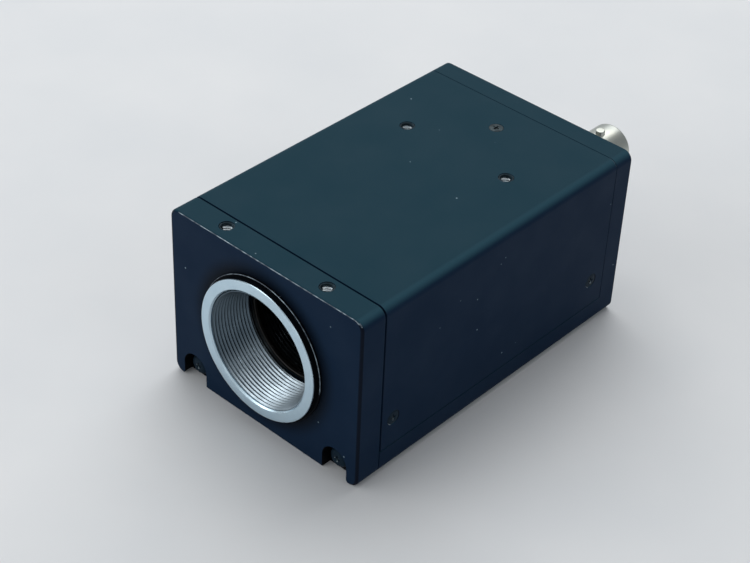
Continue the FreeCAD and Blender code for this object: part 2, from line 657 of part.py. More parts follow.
def oscillator_can():
    x_start = CHIP_SPACING / 4 - OSCILLATOR_WIDTH / 2
    x_end = x_start + OSCILLATOR_WIDTH
    y_start = MAIN_BOARD_MIDDLE_Y - OSCILLATOR_LENGTH / 2
    y_end = y_start + OSCILLATOR_LENGTH
    return box(x_start, x_end, y_start, y_end, LOWER_BOARD_TOP_Z, LOWER_BOARD_TOP_Z + OSCILLATOR_HEIGHT)


def ribbon_height():
    return UPPER_BOARD_TOP_Z + RIBBON_CONNECTOR_HEIGHT / 2


def ribbon_connectors():
    """The ribbon's socket on the sensor board and the one on the upper board."""
    half = RIBBON_WIDTH / 2
    plug = block_about(
        0,
        ribbon_height(),
        RIBBON_WIDTH,
        RIBBON_CONNECTOR_HEIGHT,
        SENSOR_BOARD_BACK_Y,
        SENSOR_BOARD_BACK_Y + RIBBON_PLUG_DEPTH,
    )
    socket_front = MAIN_BOARD_FRONT_Y + BOARD_CLEARANCE
    socket_back = socket_front + RIBBON_CONNECTOR_DEPTH
    socket_top = UPPER_BOARD_TOP_Z + RIBBON_CONNECTOR_HEIGHT
    socket = box(-half, half, socket_front, socket_back, UPPER_BOARD_TOP_Z, socket_top)
    return Part.makeCompound([plug, socket])


def sensor_ribbon():
    ribbon_front = SENSOR_BOARD_BACK_Y + RIBBON_PLUG_DEPTH
    ribbon_back = MAIN_BOARD_FRONT_Y + BOARD_CLEARANCE
    return block_about(0, ribbon_height(), RIBBON_WIDTH, RIBBON_THICKNESS, ribbon_front, ribbon_back)


def rear_board():
    half = LUG_INNER_X - BOARD_CLEARANCE
    low = FLOOR_THICKNESS + BOARD_CLEARANCE
    high = TONGUE_UNDERSIDE_Z - BOARD_CLEARANCE
    return box(-half, half, REAR_BOARD_FRONT_Y, REAR_BOARD_BACK_Y, low, high)


def rear_header():
    half = REAR_HEADER_WIDTH / 2
    front = REAR_BOARD_FRONT_Y - REAR_HEADER_DEPTH
    top = LOWER_BOARD_TOP_Z + REAR_HEADER_HEIGHT
    return box(-half, half, front, REAR_BOARD_FRONT_Y, LOWER_BOARD_TOP_Z, top)


def coax_body():
    """The connector's shell: flange, barrel with two bayonet lugs, and the shank through the panel."""
    axis_point = point(CONNECTOR_X, REAR_Y, UPPER_ROW_Z)
    bore_floor = COAX_LENGTH - COAX_BORE_DEPTH
    core = COAX_INSULATOR_RADIUS + FIT
    profile = [
        (core, -COAX_SHANK_LENGTH),
        (COAX_SHANK_RADIUS, -COAX_SHANK_LENGTH),
        (COAX_SHANK_RADIUS, 0),
        (COAX_FLANGE_RADIUS, 0),
        (COAX_FLANGE_RADIUS, COAX_FLANGE_THICKNESS),
        (COAX_RADIUS, COAX_FLANGE_THICKNESS),
        (COAX_RADIUS, COAX_LENGTH),
        (COAX_BORE_RADIUS, COAX_LENGTH),
        (COAX_BORE_RADIUS, bore_floor),
        (core, bore_floor),
    ]
    shell = turned(profile, axis_point, BACKWARD)
    lug_y = REAR_Y + COAX_LENGTH - COAX_LUG_FROM_END
    wall_middle = (COAX_RADIUS + COAX_BORE_RADIUS) / 2
    lug_length = COAX_LUG_REACH - wall_middle
    upper_foot = point(CONNECTOR_X, lug_y, UPPER_ROW_Z + wall_middle)
    lower_foot = point(CONNECTOR_X, lug_y, UPPER_ROW_Z - wall_middle)
    upper = hexagon_bar(COAX_LUG_FLATS, upper_foot, lug_length, UP)
    lower = hexagon_bar(COAX_LUG_FLATS, lower_foot, lug_length, DOWN)
    return join([shell, upper, lower])


def coax_insulator():
    hole = COAX_CONTACT_RADIUS + FIT
    tip = COAX_LENGTH - COAX_INSULATOR_SETBACK
    profile = [
        (hole, -COAX_SHANK_LENGTH),
        (COAX_INSULATOR_RADIUS, -COAX_SHANK_LENGTH),
        (COAX_INSULATOR_RADIUS, tip),
        (hole, tip),
    ]
    return turned(profile, point(CONNECTOR_X, REAR_Y, UPPER_ROW_Z), BACKWARD)


def coax_contact():
    """The centre socket, which runs in to the rear board."""
    tip = COAX_LENGTH - COAX_INSULATOR_SETBACK
    tail_end = REAR_BOARD_BACK_Y - REAR_Y
    profile = [
        (0, tail_end),
        (COAX_CONTACT_RADIUS, tail_end),
        (COAX_CONTACT_RADIUS, tip),
        (COAX_SOCKET_RADIUS, tip),
        (COAX_SOCKET_RADIUS, tip - COAX_SOCKET_DEPTH),
        (0, tip - COAX_SOCKET_DEPTH),
    ]
    return turned(profile, point(CONNECTOR_X, REAR_Y, UPPER_ROW_Z), BACKWARD)


def wall_nut(flats, shank_radius, x, z):
    """A hexagon nut on a connector's shank, tight against the inside of the rear wall."""
    nut = hexagon_bar(flats, point(x, WALL_INNER_Y, z), NUT_THICKNESS, FORWARD)
    return nut.cut(cylinder_y(shank_radius + FIT, WALL_INNER_Y - NUT_THICKNESS, WALL_INNER_Y, x, z))


def socket_shell():
    """The metal shell of the round socket, with a key on the top of its bore."""
    profile = [
        (SOCKET_BORE_RADIUS, -SOCKET_SHANK_LENGTH),
        (SOCKET_SHANK_RADIUS, -SOCKET_SHANK_LENGTH),
        (SOCKET_SHANK_RADIUS, 0),
        (SOCKET_FLANGE_RADIUS, 0),
        (SOCKET_FLANGE_RADIUS, SOCKET_FLANGE_THICKNESS),
        (SOCKET_BARREL_RADIUS, SOCKET_FLANGE_THICKNESS),
        (SOCKET_BARREL_RADIUS, SOCKET_BARREL_LENGTH),
        (SOCKET_BORE_RADIUS, SOCKET_BARREL_LENGTH),
    ]
    shell = turned(profile, point(-CONNECTOR_X, REAR_Y, LOWER_ROW_Z), BACKWARD)
    half = SOCKET_KEY_WIDTH / 2
    key = box(
        -CONNECTOR_X - half,
        -CONNECTOR_X + half,
        REAR_Y + SOCKET_FLANGE_THICKNESS,
        REAR_Y + SOCKET_BARREL_LENGTH - SOCKET_KEY_DEPTH,
        LOWER_ROW_Z + SOCKET_BORE_RADIUS - SOCKET_KEY_DEPTH,
        LOWER_ROW_Z + (SOCKET_BORE_RADIUS + SOCKET_BARREL_RADIUS) / 2,
    )
    return join([shell, key])


def circle_places(count, radius):
    """Evenly spaced (x, z) offsets on a circle, the first at the foot."""
    places = []
    for index in range(count):
        angle = 2 * math.pi * index / count - math.pi / 2
        places.append((radius * math.cos(angle), radius * math.sin(angle)))
    return places


def socket_insert():
    """The moulded insert that carries the socket's pins."""
    inner_y = REAR_Y - SOCKET_SHANK_LENGTH
    face_y = REAR_Y + SOCKET_INSERT_FACE
    return cylinder_y(SOCKET_BORE_RADIUS - FIT, inner_y, face_y, -CONNECTOR_X, LOWER_ROW_Z)


def socket_pins():
    """Two rings of slim pins that stand on the face of the insert."""
    face_y = REAR_Y + SOCKET_INSERT_FACE
    outer = circle_places(SOCKET_OUTER_PINS, SOCKET_OUTER_CIRCLE)
    pins = []
    for x_offset, z_offset in outer + circle_places(SOCKET_INNER_PINS, SOCKET_INNER_CIRCLE):
        foot = point(x_offset - CONNECTOR_X, face_y, LOWER_ROW_Z + z_offset)
        pins.append(hexagon_bar(SOCKET_PIN_FLATS, foot, SOCKET_PIN_REACH, BACKWARD))
    return Part.makeCompound(pins)


def control_body(size, rotor_radius, x):
    """A square control on the rear board, with a blind seat for its rotor."""
    body = block_about(x, LOWER_ROW_Z, size, size, REAR_BOARD_BACK_Y, CONTROL_BODY_Y)
    seat_floor = CONTROL_BODY_Y - CONTROL_SEAT_DEPTH
    seat_radius = rotor_radius + CONTROL_RUNNING_CLEARANCE
    return body.cut(cylinder_y(seat_radius, seat_floor, CONTROL_BODY_Y, x, LOWER_ROW_Z))


def control_rotor(rotor_radius, x):
    seat_floor = CONTROL_BODY_Y - CONTROL_SEAT_DEPTH
    face_y = REAR_Y - CONTROL_RECESS
    return cylinder_y(rotor_radius, seat_floor + CONTROL_RUNNING_CLEARANCE, face_y, x, LOWER_ROW_Z)


def control_slot(length, width, x):
    """A level screwdriver slot in the face of a rotor."""
    face_y = REAR_Y - CONTROL_RECESS
    return block_about(x, LOWER_ROW_Z, length, width, face_y - CONTROL_SLOT_DEPTH, face_y)


def selector_body():
    return control_body(SELECTOR_BODY_SIZE, SELECTOR_ROTOR_RADIUS, SELECTOR_X)


def selector_rotor():
    """The rotor of the ten-position selector, slotted right across."""
    slot = control_slot(2 * SELECTOR_ROTOR_RADIUS, SELECTOR_SLOT_WIDTH, SELECTOR_X)
    return control_rotor(SELECTOR_ROTOR_RADIUS, SELECTOR_X).cut(slot)


def trimmer_body():
    return control_body(TRIMMER_BODY_SIZE, TRIMMER_ROTOR_RADIUS, TRIMMER_X)


def trimmer_rotor():
    slot = control_slot(2 * TRIMMER_ROTOR_RADIUS, TRIMMER_SLOT_WIDTH, TRIMMER_X)
    return control_rotor(TRIMMER_ROTOR_RADIUS, TRIMMER_X).cut(slot)


def build():
    """Every piece of the camera by its node name."""
    return {
        "front_plate": front_plate(),
        "lens_mount_ring": lens_mount_ring(),
        "top_cover": top_cover(),
        "chassis": chassis(),
        "cover_screws": cover_screws(),
        "front_plate_screws": front_plate_screws(),
        "sensor_holder": sensor_holder(),
        "filter_retainer": filter_retainer(),
        "filter_glass": filter_glass(),
        "sensor_seal": sensor_seal(),
        "sensor_package": sensor_package(),
        "sensor_window": sensor_window(),
        "sensor_die": sensor_die(),
        "sensor_pins": sensor_pins(),
        "sensor_board": sensor_board(),
        "sensor_studs": sensor_studs(),
        "lower_board": main_board(LOWER_BOARD_Z),
        "upper_board": main_board(UPPER_BOARD_Z),
        "lower_standoffs": standoffs(FLOOR_THICKNESS, LOWER_STANDOFF_HEIGHT),
        "upper_standoffs": standoffs(LOWER_BOARD_TOP_Z, UPPER_STANDOFF_HEIGHT),
        "stack_header": stack_header(),
        "chips": chips(),
        "capacitors": capacitors(),
        "oscillator_can": oscillator_can(),
        "ribbon_connectors": ribbon_connectors(),
        "sensor_ribbon": sensor_ribbon(),
        "rear_board": rear_board(),
        "rear_header": rear_header(),
        "coax_body": coax_body(),
        "coax_insulator": coax_insulator(),
        "coax_contact": coax_contact(),
        "coax_nut": wall_nut(COAX_NUT_FLATS, COAX_SHANK_RADIUS, CONNECTOR_X, UPPER_ROW_Z),
        "socket_shell": socket_shell(),
        "socket_insert": socket_insert(),
        "socket_pins": socket_pins(),
        "socket_nut": wall_nut(SOCKET_NUT_FLATS, SOCKET_SHANK_RADIUS, -CONNECTOR_X, LOWER_ROW_Z),
        "selector_body": selector_body(),
        "selector_rotor": selector_rotor(),
        "trimmer_body": trimmer_body(),
        "trimmer_rotor": trimmer_rotor(),
    }


def main():
    os.makedirs("parts", exist_ok=True)
    for name, shape in build().items():
        shape.exportStep(f"parts/{name}.step")


main()
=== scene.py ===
import math

import bmesh
import bpy
from bpy.props import FloatProperty, FloatVectorProperty, PointerProperty
from mathutils import Matrix, Vector


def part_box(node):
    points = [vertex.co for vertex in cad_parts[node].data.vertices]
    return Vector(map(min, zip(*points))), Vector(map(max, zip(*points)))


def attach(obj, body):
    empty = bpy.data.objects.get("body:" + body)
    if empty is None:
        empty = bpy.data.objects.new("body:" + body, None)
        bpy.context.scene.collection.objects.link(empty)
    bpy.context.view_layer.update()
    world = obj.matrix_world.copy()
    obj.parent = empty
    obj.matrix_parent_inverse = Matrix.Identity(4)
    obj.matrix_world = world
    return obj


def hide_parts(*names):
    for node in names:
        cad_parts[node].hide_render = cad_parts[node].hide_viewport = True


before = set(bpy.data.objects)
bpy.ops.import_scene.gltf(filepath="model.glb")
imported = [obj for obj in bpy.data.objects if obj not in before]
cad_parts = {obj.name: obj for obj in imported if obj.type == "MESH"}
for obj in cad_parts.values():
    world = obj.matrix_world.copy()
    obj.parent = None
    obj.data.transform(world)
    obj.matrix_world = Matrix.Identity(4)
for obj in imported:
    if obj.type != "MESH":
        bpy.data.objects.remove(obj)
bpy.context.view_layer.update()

bl_info = {
    "name": "Box camera pieces",
    "version": (1, 0, 0),
    "blender": (4, 5, 0),
    "location": "3D View > Sidebar > Box camera",
    "description": "Models and finishes the pieces of a compact machine-vision camera on its packed frame",
    "category": "Object",
}

MM = 0.001
FORWARD = Vector((0, -1, 0))
BACKWARD = Vector((0, 1, 0))
UP = Vector((0, 0, 1))
DOWN = Vector((0, 0, -1))
RIGHT = Vector((1, 0, 0))
LEFT = Vector((-1, 0, 0))


def linear(code):
    """The linear colour of an sRGB hex code."""
    channels = [int(code[start:start + 2], 16) / 255 for start in (1, 3, 5)]
    return [c / 12.92 if c <= 0.04045 else ((c + 0.055) / 1.055) ** 2.4 for c in channels] + [1.0]


def length(name, description, millimetres):
    """A length property that a user can change, with its default in millimetres."""
    return FloatProperty(name=name, description=description, default=millimetres * MM, min=0, unit="LENGTH")


def colour(name, description, code):
    """A colour property with its default as an sRGB hex code."""
    return FloatVectorProperty(
        name=name, description=description, default=linear(code), size=4, min=0, max=1, subtype="COLOR"
    )


class HousingSizes(bpy.types.PropertyGroup):
    """Sizes of the plate, the cover and the chassis."""

    corner_radius: length("Corner radius", "Round of the housing's long edges", 2.0)
    plate_thickness: length("Plate thickness", "Thickness of the front plate", 5.9)
    side_edge: length("Side edge", "Round of the plate's upright front edges", 0.9)
    sheet: length("Sheet", "Thickness of the cover's sheet", 0.8)
    front_seam: length("Front seam", "Groove between the front plate and the cover", 0.4)
    rear_gain: length("Rear gain", "How far the cover reaches into the packed seam behind it", 0.12)
    break_edge: length("Edge break", "Round of the small edges", 0.12)
    chassis_edge: length("Chassis edge", "Round of the chassis' outer edges", 0.3)
    notch_radius: length("Notch radius", "Radius of the arched notches at the plate's foot", 3.15)
    notch_depth: length("Notch depth", "Depth of the arched notches", 2.4)
    leg_round: length("Leg round", "Round of the legs' feet beside the notches", 1.0)


class LensMountSizes(bpy.types.PropertyGroup):
    """Sizes of the lens ring and its thread."""

    ring_radius: length("Ring radius", "Outer radius of the ring's collar", 15.0)
    collar_length: length("Collar length", "Length of the collar before the flange", 1.3)
    flange_width: length("Flange width", "How far the flange stands out from the collar", 0.5)
    flange_thickness: length("Flange thickness", "Thickness of the flange on the plate", 0.5)
    tail_radius: length("Tail radius", "Outer radius of the ring's tail", 13.9)
    minor_radius: length("Minor radius", "Radius of the thread's crests", 12.27)
    major_radius: length("Major radius", "Radius of the thread's roots, drawn shallow to show", 12.6)
    pitch: length("Pitch", "Distance between two turns, 32 to the inch", 25.4 / 32)
    entry: length("Entry", "Bevel at the mouth of the thread", 0.65)
    window_radius: length("Window radius", "Radius of the retainer's window", 11.4)


class HoleSizes(bpy.types.PropertyGroup):
    """Sizes of the tapped holes."""

    spacing_x: length("Spacing across", "Distance between the two holes of a pair", 26.0)
    spacing_y: length("Spacing along", "Distance between the two pairs", 50.0)
    from_front: length("From the front", "Distance of the first pair from the plate's face", 3.4)
    minor_radius: length("Minor radius", "Radius of the thread's crests", 1.25)
    major_radius: length("Major radius", "Radius of the thread's roots", 1.5)
    pitch: length("Pitch", "Distance between two turns", 0.5)
    lining_radius: length("Lining radius", "Radius of the plain hole that holds a thread's lining", 1.55)
    lead: length("Lead", "Depth at which a hole's thread starts", 0.12)


class ScrewSizes(bpy.types.PropertyGroup):
    """Sizes of the two kinds of screw."""

    flat_radius: length("Flat head radius", "Radius of a countersunk head", 1.5)
    flat_height: length("Flat head height", "Height of a countersunk head", 0.4)
    flat_sink: length("Flat head sink", "How far a countersunk head lies under the sheet's face", 0.06)
    pan_radius: length("Pan head radius", "Radius of a front screw's head", 2.1)
    pan_height: length("Pan head height", "Height of a front screw's head", 1.6)
    cross_depth: length("Cross depth", "Depth of the cross recess", 0.75)


class FinishColours(bpy.types.PropertyGroup):
    """Colours of the finishes."""

    black: colour("Black", "Anodised housing", "#11243A")
    rubbed: colour("Rubbed black", "Anodised housing where it has been handled", "#14273D")
    # The deep black is painted shade in recesses and round the ring.
    deep: colour("Deep black", "Painted shade in recesses and round the ring", "#06080B")
    # Painted light: the lighter tone of what faces up.
    film: colour("Top light", "Painted light on what faces up", "#173642")
    dust: colour("Dust", "Specks of dust", "#A9C4D2")
    silver: colour("Silver", "Bare turned aluminium", "#CBDFEA")
    steel: colour("Steel", "Screws", "#343D40")
    nickel: colour("Nickel", "Plated connectors", "#BDBFB5")
    gold: colour("Gold", "Contacts", "#D9B25A")
    floor: colour("Floor", "Pale floor", "#E4E6E8")


GROUPS = {
    "camera_housing": HousingSizes,
    "camera_lens_mount": LensMountSizes,
    "camera_holes": HoleSizes,
    "camera_screws": ScrewSizes,
    "camera_colours": FinishColours,
}


# Modelling steps


def only(piece=None):
    """Leave edit mode and deselect everything, then select the piece alone."""
    if bpy.context.mode != "OBJECT":
        bpy.ops.object.mode_set(mode="OBJECT")
    bpy.ops.object.select_all(action="DESELECT")
    if piece:
        piece.select_set(True)
        bpy.context.view_layer.objects.active = piece


def settle(piece):
    """Move the piece's place, turn and size into its mesh."""
    only(piece)
    bpy.ops.object.transform_apply(location=True, rotation=True, scale=True)
    return piece


def set_down(piece, place, axis):
    """Turn a piece that was modelled along +Z to its axis, and put it in its place."""
    piece.rotation_mode = "QUATERNION"
    piece.rotation_quaternion = UP.rotation_difference(axis)
    piece.location = place
    return settle(piece)


def pick(piece, kind, wanted=lambda element: True):
    """In edit mode, select the vertices, edges or faces that pass the test, or all of them."""
    only(piece)
    bpy.ops.object.mode_set(mode="EDIT")
    bpy.ops.mesh.select_mode(type=kind)
    bpy.ops.mesh.select_all(action="DESELECT")
    mesh = bmesh.from_edit_mesh(piece.data)
    for element in {"VERT": mesh.verts, "EDGE": mesh.edges, "FACE": mesh.faces}[kind]:
        if wanted(element):
            element.select_set(True)
    bmesh.update_edit_mesh(piece.data)


def run_of(edge):
    """How far an edge runs along each axis."""
    start, end = edge.verts
    return Vector([abs(step) for step in end.co - start.co])


def face_outward():
    """In edit mode, point all faces outwards, and then leave it."""
    bpy.ops.mesh.select_all(action="SELECT")
    bpy.ops.mesh.normals_make_consistent(inside=False)
    bpy.ops.object.mode_set(mode="OBJECT")


def block(name, low, high):
    """A box between two corners, ready to be shaped."""
    only()
    low, high = Vector(low), Vector(high)
    bpy.ops.mesh.primitive_cube_add(size=1, location=(low + high) / 2, scale=high - low)
    bpy.context.object.name = name
    return settle(bpy.context.object)


def turned(name, outline, place, axis, steps, ring=False):
    """A turned piece: a circle of edges, extruded and resized along (radius, height) points in millimetres.

    A ring is closed from the last point back to the first; other pieces get a flat face at both ends."""
    only()
    radius, height = outline[0]
    bpy.ops.mesh.primitive_circle_add(vertices=steps, radius=radius * MM, location=(0, 0, height * MM))
    piece = settle(bpy.context.object)
    piece.name = name
    pick(piece, "EDGE")
    for (radius, height), (next_radius, next_height) in zip(outline, outline[1:]):
        rise = (0, 0, (next_height - height) * MM)
        bpy.ops.mesh.extrude_edges_move(TRANSFORM_OT_translate={"value": rise})
        ratio = next_radius / radius
        bpy.ops.transform.resize(value=(ratio, ratio, 1), center_override=(0, 0, 0))
    if ring:
        pick(piece, "EDGE", lambda edge: edge.is_boundary)
        bpy.ops.mesh.bridge_edge_loops()
    else:
        pick(piece, "EDGE")
        bpy.ops.mesh.fill_holes(sides=0)
    face_outward()
    return set_down(piece, place, axis)


def modify(piece, kind, **settings):
    """Add one modifier with its settings and apply it."""
    only(piece)
    modifier = piece.modifiers.new(kind.title(), kind)
    for key, value in settings.items():
        setattr(modifier, key, value)
    bpy.ops.object.modifier_apply(modifier=modifier.name)


def combine(piece, tools, operation):
    """Cut the tools out of the piece, or add them to it, and throw the tools away."""
    for tool in tools:
        modify(piece, "BOOLEAN", object=tool, operation=operation, solver="EXACT")
        bpy.data.objects.remove(tool)


def shade(piece, degrees):
    """Shade the piece smooth, apart from edges that are sharper than the angle."""
    only(piece)
    bpy.ops.object.shade_smooth_by_angle(angle=math.radians(degrees))


def soften(piece, width, degrees=35):
    """Round the sharp edges and shade the piece so that flat faces stay flat."""
    modify(piece, "BEVEL", width=width, segments=2, limit_method="ANGLE", angle_limit=math.radians(degrees))
    shade(piece, 40)
    modify(piece, "WEIGHTED_NORMAL", keep_sharp=True)


def thread_lining(name, mouth, axis, radii, pitch, span, steps):
    """A thin lining with a right-handed thread inside it, between two depths behind the mouth.

    One pitch of its outline is drawn point by point, swept along a screw line, walled and cut square."""
    only()
    crest, root, wall = radii
    bpy.ops.mesh.primitive_plane_add(size=pitch, location=(root, 0, 0))
    lining = settle(bpy.context.object)
    lining.name = name
    pick(lining, "VERT")
    bpy.ops.mesh.merge(type="CENTER")
    # Radius and share of the pitch: a narrow root, one flank, a narrow crest, the other flank.
    drawn = (root, 0)
    for point in ((root, 0.06), (crest, 0.48), (crest, 0.58), (root, 1.0)):
        step = (point[0] - drawn[0], 0, (point[1] - drawn[1]) * pitch)
        bpy.ops.mesh.extrude_vertices_move(TRANSFORM_OT_translate={"value": step})
        drawn = point
    # Spare turns at both ends are cut off again.
    start, end = span
    turns = int((end - start) / pitch) + 4
    sweep = {"screw_offset": pitch, "iterations": turns, "steps": steps, "render_steps": steps}
    modify(lining, "SCREW", axis="Z", angle=2 * math.pi, **sweep)
    pick(lining, "FACE")
    bpy.ops.mesh.remove_doubles(threshold=0.001 * MM)
    modify(lining, "SOLIDIFY", thickness=wall, offset=0)
    for depth, past in ((start, False), (end, True)):
        pick(lining, "FACE")
        bpy.ops.mesh.bisect(
            plane_co=(0, 0, 2 * pitch + depth - start),
            plane_no=UP,
            clear_inner=not past,
            clear_outer=past,
            threshold=0.0001 * MM,
        )
        pick(lining, "EDGE", lambda edge: edge.is_boundary)
        bpy.ops.mesh.bridge_edge_loops()
    face_outward()
    shade(lining, 25)
    return set_down(lining, Vector(mouth) + axis * (2 * pitch - start), -axis)


def arch(name, middle, foot, spring, radius, front, back):
    """A cutter with an upright arch for its outline, from the front plane to the back plane."""
    tool = block(name, (middle - radius, front, foot), (middle + radius, back, spring + radius))
    pick(tool, "EDGE", lambda edge: run_of(edge).x < 0.1 * MM and min(v.co.z for v in edge.verts) > spring)
    bpy.ops.mesh.bevel(offset=radius * 0.999, segments=16, affect="EDGES")
    return tool


def tapped_hole(place, outward, above=0.1, depth=5):
    """The cutter of a plain hole for a thread's lining, with its reach above and below in millimetres."""
    bore = bpy.context.scene.camera_holes.lining_radius / MM
    return turned("tapped_hole", [(bore, above), (bore, -depth)], place, outward, 40)


def cross_recess(depth):
    """The cutter of a cross recess: two crossed wings that narrow to their tips, from the origin down."""
    wings = []
    reach, half = 0.95 * MM, 0.2 * MM
    for x, y in ((reach, half), (half, reach)):
        wing = block("wing", (-x, -y, -depth), (x, y, 0.5 * MM))
        pick(wing, "FACE", lambda face: face.normal.z < -0.9)
        bpy.ops.transform.resize(value=(0.45, 0.45, 1), center_override=(0, 0, -depth))
        wings.append(wing)
    combine(wings[0], wings[1:], "UNION")
    return wings[0]


def copy_of(node, name):
    """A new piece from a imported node's mesh, merged to whole faces."""
    only()
    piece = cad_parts[node].copy()
    piece.data = piece.data.copy()
    for key in list(piece.keys()):
        del piece[key]
    piece.name = name
    piece.parent = None
    bpy.context.scene.collection.objects.link(piece)
    pick(piece, "FACE")
    bpy.ops.mesh.customdata_custom_splitnormals_clear()
    bpy.ops.mesh.remove_doubles(threshold=0.001 * MM)
    bpy.ops.mesh.dissolve_limited(angle_limit=math.radians(1))
    bpy.ops.object.mode_set(mode="OBJECT")
    return piece


def placed(source, name, place, axis):
    """A copy of a piece that was modelled at the origin along +Z, with its own mesh."""
    only(source)
    bpy.ops.object.duplicate(linked=False)
    piece = bpy.context.object
    piece.name = name
    return set_down(piece, place, axis)


def paint(piece, *finishes):
    """Give the piece its finishes; the first covers it all."""
    piece.data.materials.clear()
    for finish in finishes:
        piece.data.materials.append(finish)
    for face in piece.data.polygons:
        face.material_index = 0


def touch_up(piece, index, wanted):
    """Give the faces whose normal and middle pass the test the piece's finish of that number."""
    pick(piece, "FACE", lambda face: wanted(face.normal, face.calc_center_median()))
    piece.active_material_index = index
    bpy.ops.object.material_slot_assign()
    bpy.ops.object.mode_set(mode="OBJECT")


def recess_faces(height, glint_side):
    """A test for the worn faces on one side of a cross recess, which also paint a glint there, in a head
    with its top at that height along +Z.
    """
    return (
        lambda normal, spot: -0.8 * MM < spot.z - height < 0
        and abs(normal.z) < 0.9
        and spot.xy.length < 0.97 * MM
        and spot.xy.dot(glint_side) > 0.12 * MM
    )


def deliver(piece, slot, *nodes, body="housing"):
    """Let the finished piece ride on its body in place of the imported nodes."""
    only()
    if not piece.data.polygons:
        raise RuntimeError(f"{piece.name} came out empty")
    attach(piece, body)
    if nodes:
        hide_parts(*nodes)


def complete(piece, edge, finish, slot, node, body="housing"):
    """Soften, paint and deliver a piece that has one finish; its edge round is in millimetres."""
    soften(piece, edge * MM)
    paint(piece, finish)
    deliver(piece, slot, node, body=body)


def finish_nodes(finish, *nodes):
    """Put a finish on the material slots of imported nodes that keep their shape."""
    for node in nodes:
        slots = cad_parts[node].data.materials
        for index in range(len(slots)):
            slots[index] = finish


# Finishes

# Settings that several nodes share, and constants that several shaders share
RGBA = {"data_type": "RGBA"}
SMOOTH = {"interpolation_type": "SMOOTHSTEP"}
MULTIPLY = {"operation": "MULTIPLY"}
METAL = {"Metallic": 1.0}
# Black metal reflects little, and slightly blue.
FAINT_SHEEN = {"Specular IOR Level": 0.06, "Specular Tint": linear("#A9CBF2")}
# What comes from a mould has an even colour, a slight sheen and a fine texture.
MOULDED = (2.5, (0.38, 0.52), (0.25, 0.2), {})
# Mottled finishes: two tones, each a hex code or a colour of the panel, the size of their patches, the
# roughness of each tone, the size and strength of the bump, and the shader's constants; sizes in millimetres
MOTTLED = {
    # Steel screws whose black has worn off: dull grey with dark remains.
    "worn_blackened_steel": ("steel", "#20282D", 0.9, (0.42, 0.6), (0.2, 0.2), METAL),
    # Black zinc plate on steel: almost black and bluish like the anodised body, a little smoother.
    "black_zinc_plated_steel": ("#1B2B38", "#14222D", 0.9, (0.4, 0.5), (0.2, 0.15), FAINT_SHEEN),
    # Steel where a driver has worn the plating off: small bright scratches in the recess, on one side only
    # as a painted glint.
    "driver_worn_steel": ("#AEB9BE", "#4A555B", 0.4, (0.15, 0.3), (0.15, 0.3), METAL),
    # Zinc-plated steel: grey metal with a slightly cloudy shine.
    "zinc_plated_steel": ("steel", "#39454E", 1.2, (0.22, 0.36), (0.2, 0.1), METAL),
    # Nickel plate on brass: bright and hard, with faint finger marks.
    "nickel_plated_brass": ("nickel", "#A9AEAB", 4, (0.32, 0.42), (0.5, 0.05), METAL),
    # Gold flash on contacts: warm and bright.
    "gold_plated_contact": ("gold", "#C79A45", 0.8, (0.2, 0.3), (0.3, 0.05), METAL),
    # Painted glint of bare tapped aluminium: bright and a little torn.
    "bare_tapped_aluminium": ("#EEF4F7", "#DCE9F0", 0.5, (0.24, 0.36), (0.15, 0.3), METAL),
    # Painted shade in the tapped holes: dark grey metal with a weak shine.
    "dull_tapped_aluminium": ("#2F3D45", "#202B31", 0.5, (0.35, 0.5), (0.15, 0.3), METAL),
    # Aluminium where a fine thread has been cut: hard and grey.
    "fine_threaded_aluminium": ("#A3B0B8", "#94A1AA", 2, (0.3, 0.4), (0.3, 0.1), METAL),
    # Aluminium with a thin grey anodised skin: dark and even.
    "grey_anodised_aluminium": ("#100F0F", "#171514", 3, (0.35, 0.45), (0.2, 0.15), {"Metallic": 0.3}),
    # Matt pale board: almost white, with a faint unevenness.
    "pale_matt_board": ("floor", "#DFE2E5", 40, (0.7, 0.8), (0.6, 0.05), {}),
    # Plastics and rubber, and the sensor's and the boards' own materials, which hardly show.
    "black_moulded_plastic": ("#181A1D", "#24272B", *MOULDED),
    "white_moulded_plastic": ("#D9D7CC", "#E3E1D8", *MOULDED),
    "white_insulating_plastic": ("#DAD9D2", "#E6E5E0", *MOULDED),
    "blue_moulded_plastic": ("#23437A", "#2D5290", *MOULDED),
    "orange_moulded_plastic": ("#C97A22", "#D98B30", *MOULDED),
    "natural_nylon": ("#DDD8C8", "#E8E4D6", *MOULDED),
    "polyimide_film": ("#B0621E", "#BF7328", *MOULDED),
    "green_solder_mask": ("#1E5A3A", "#26704A", *MOULDED),
    "black_rubber": ("#17191B", "#222527", *MOULDED),
    "dark_ceramic": ("#2B2428", "#3A3136", *MOULDED),
    "polished_silicon": ("#20283A", "#31405C", *MOULDED),
}


def feed(tree, node, inputs):
    """Set a node's inputs, or link them to a socket or to the first output that another node has in use."""
    for key, value in inputs.items():
        if isinstance(value, bpy.types.Node):
            value = next(socket for socket in value.outputs if socket.enabled)
        if isinstance(value, bpy.types.NodeSocket):
            tree.links.new(value, node.inputs[key])
        else:
            node.inputs[key].default_value = value


def add_node(tree, kind, inputs={}, settings={}):
    """Add a shader node with its settings, and feed its inputs."""
    made = tree.nodes.new("ShaderNode" + kind)
    for key, value in settings.items():
        setattr(made, key, value)
    feed(tree, made, inputs)
    return made


def blank(name, sockets):
    """A new material with constants on its shader, and its tree, shader and object coordinates."""
    material = bpy.data.materials.new(name)
    material.use_nodes = True
    tree = material.node_tree
    shader = tree.nodes["Principled BSDF"]
    feed(tree, shader, sockets)
    return material, tree, shader, add_node(tree, "TexCoord").outputs["Object"]


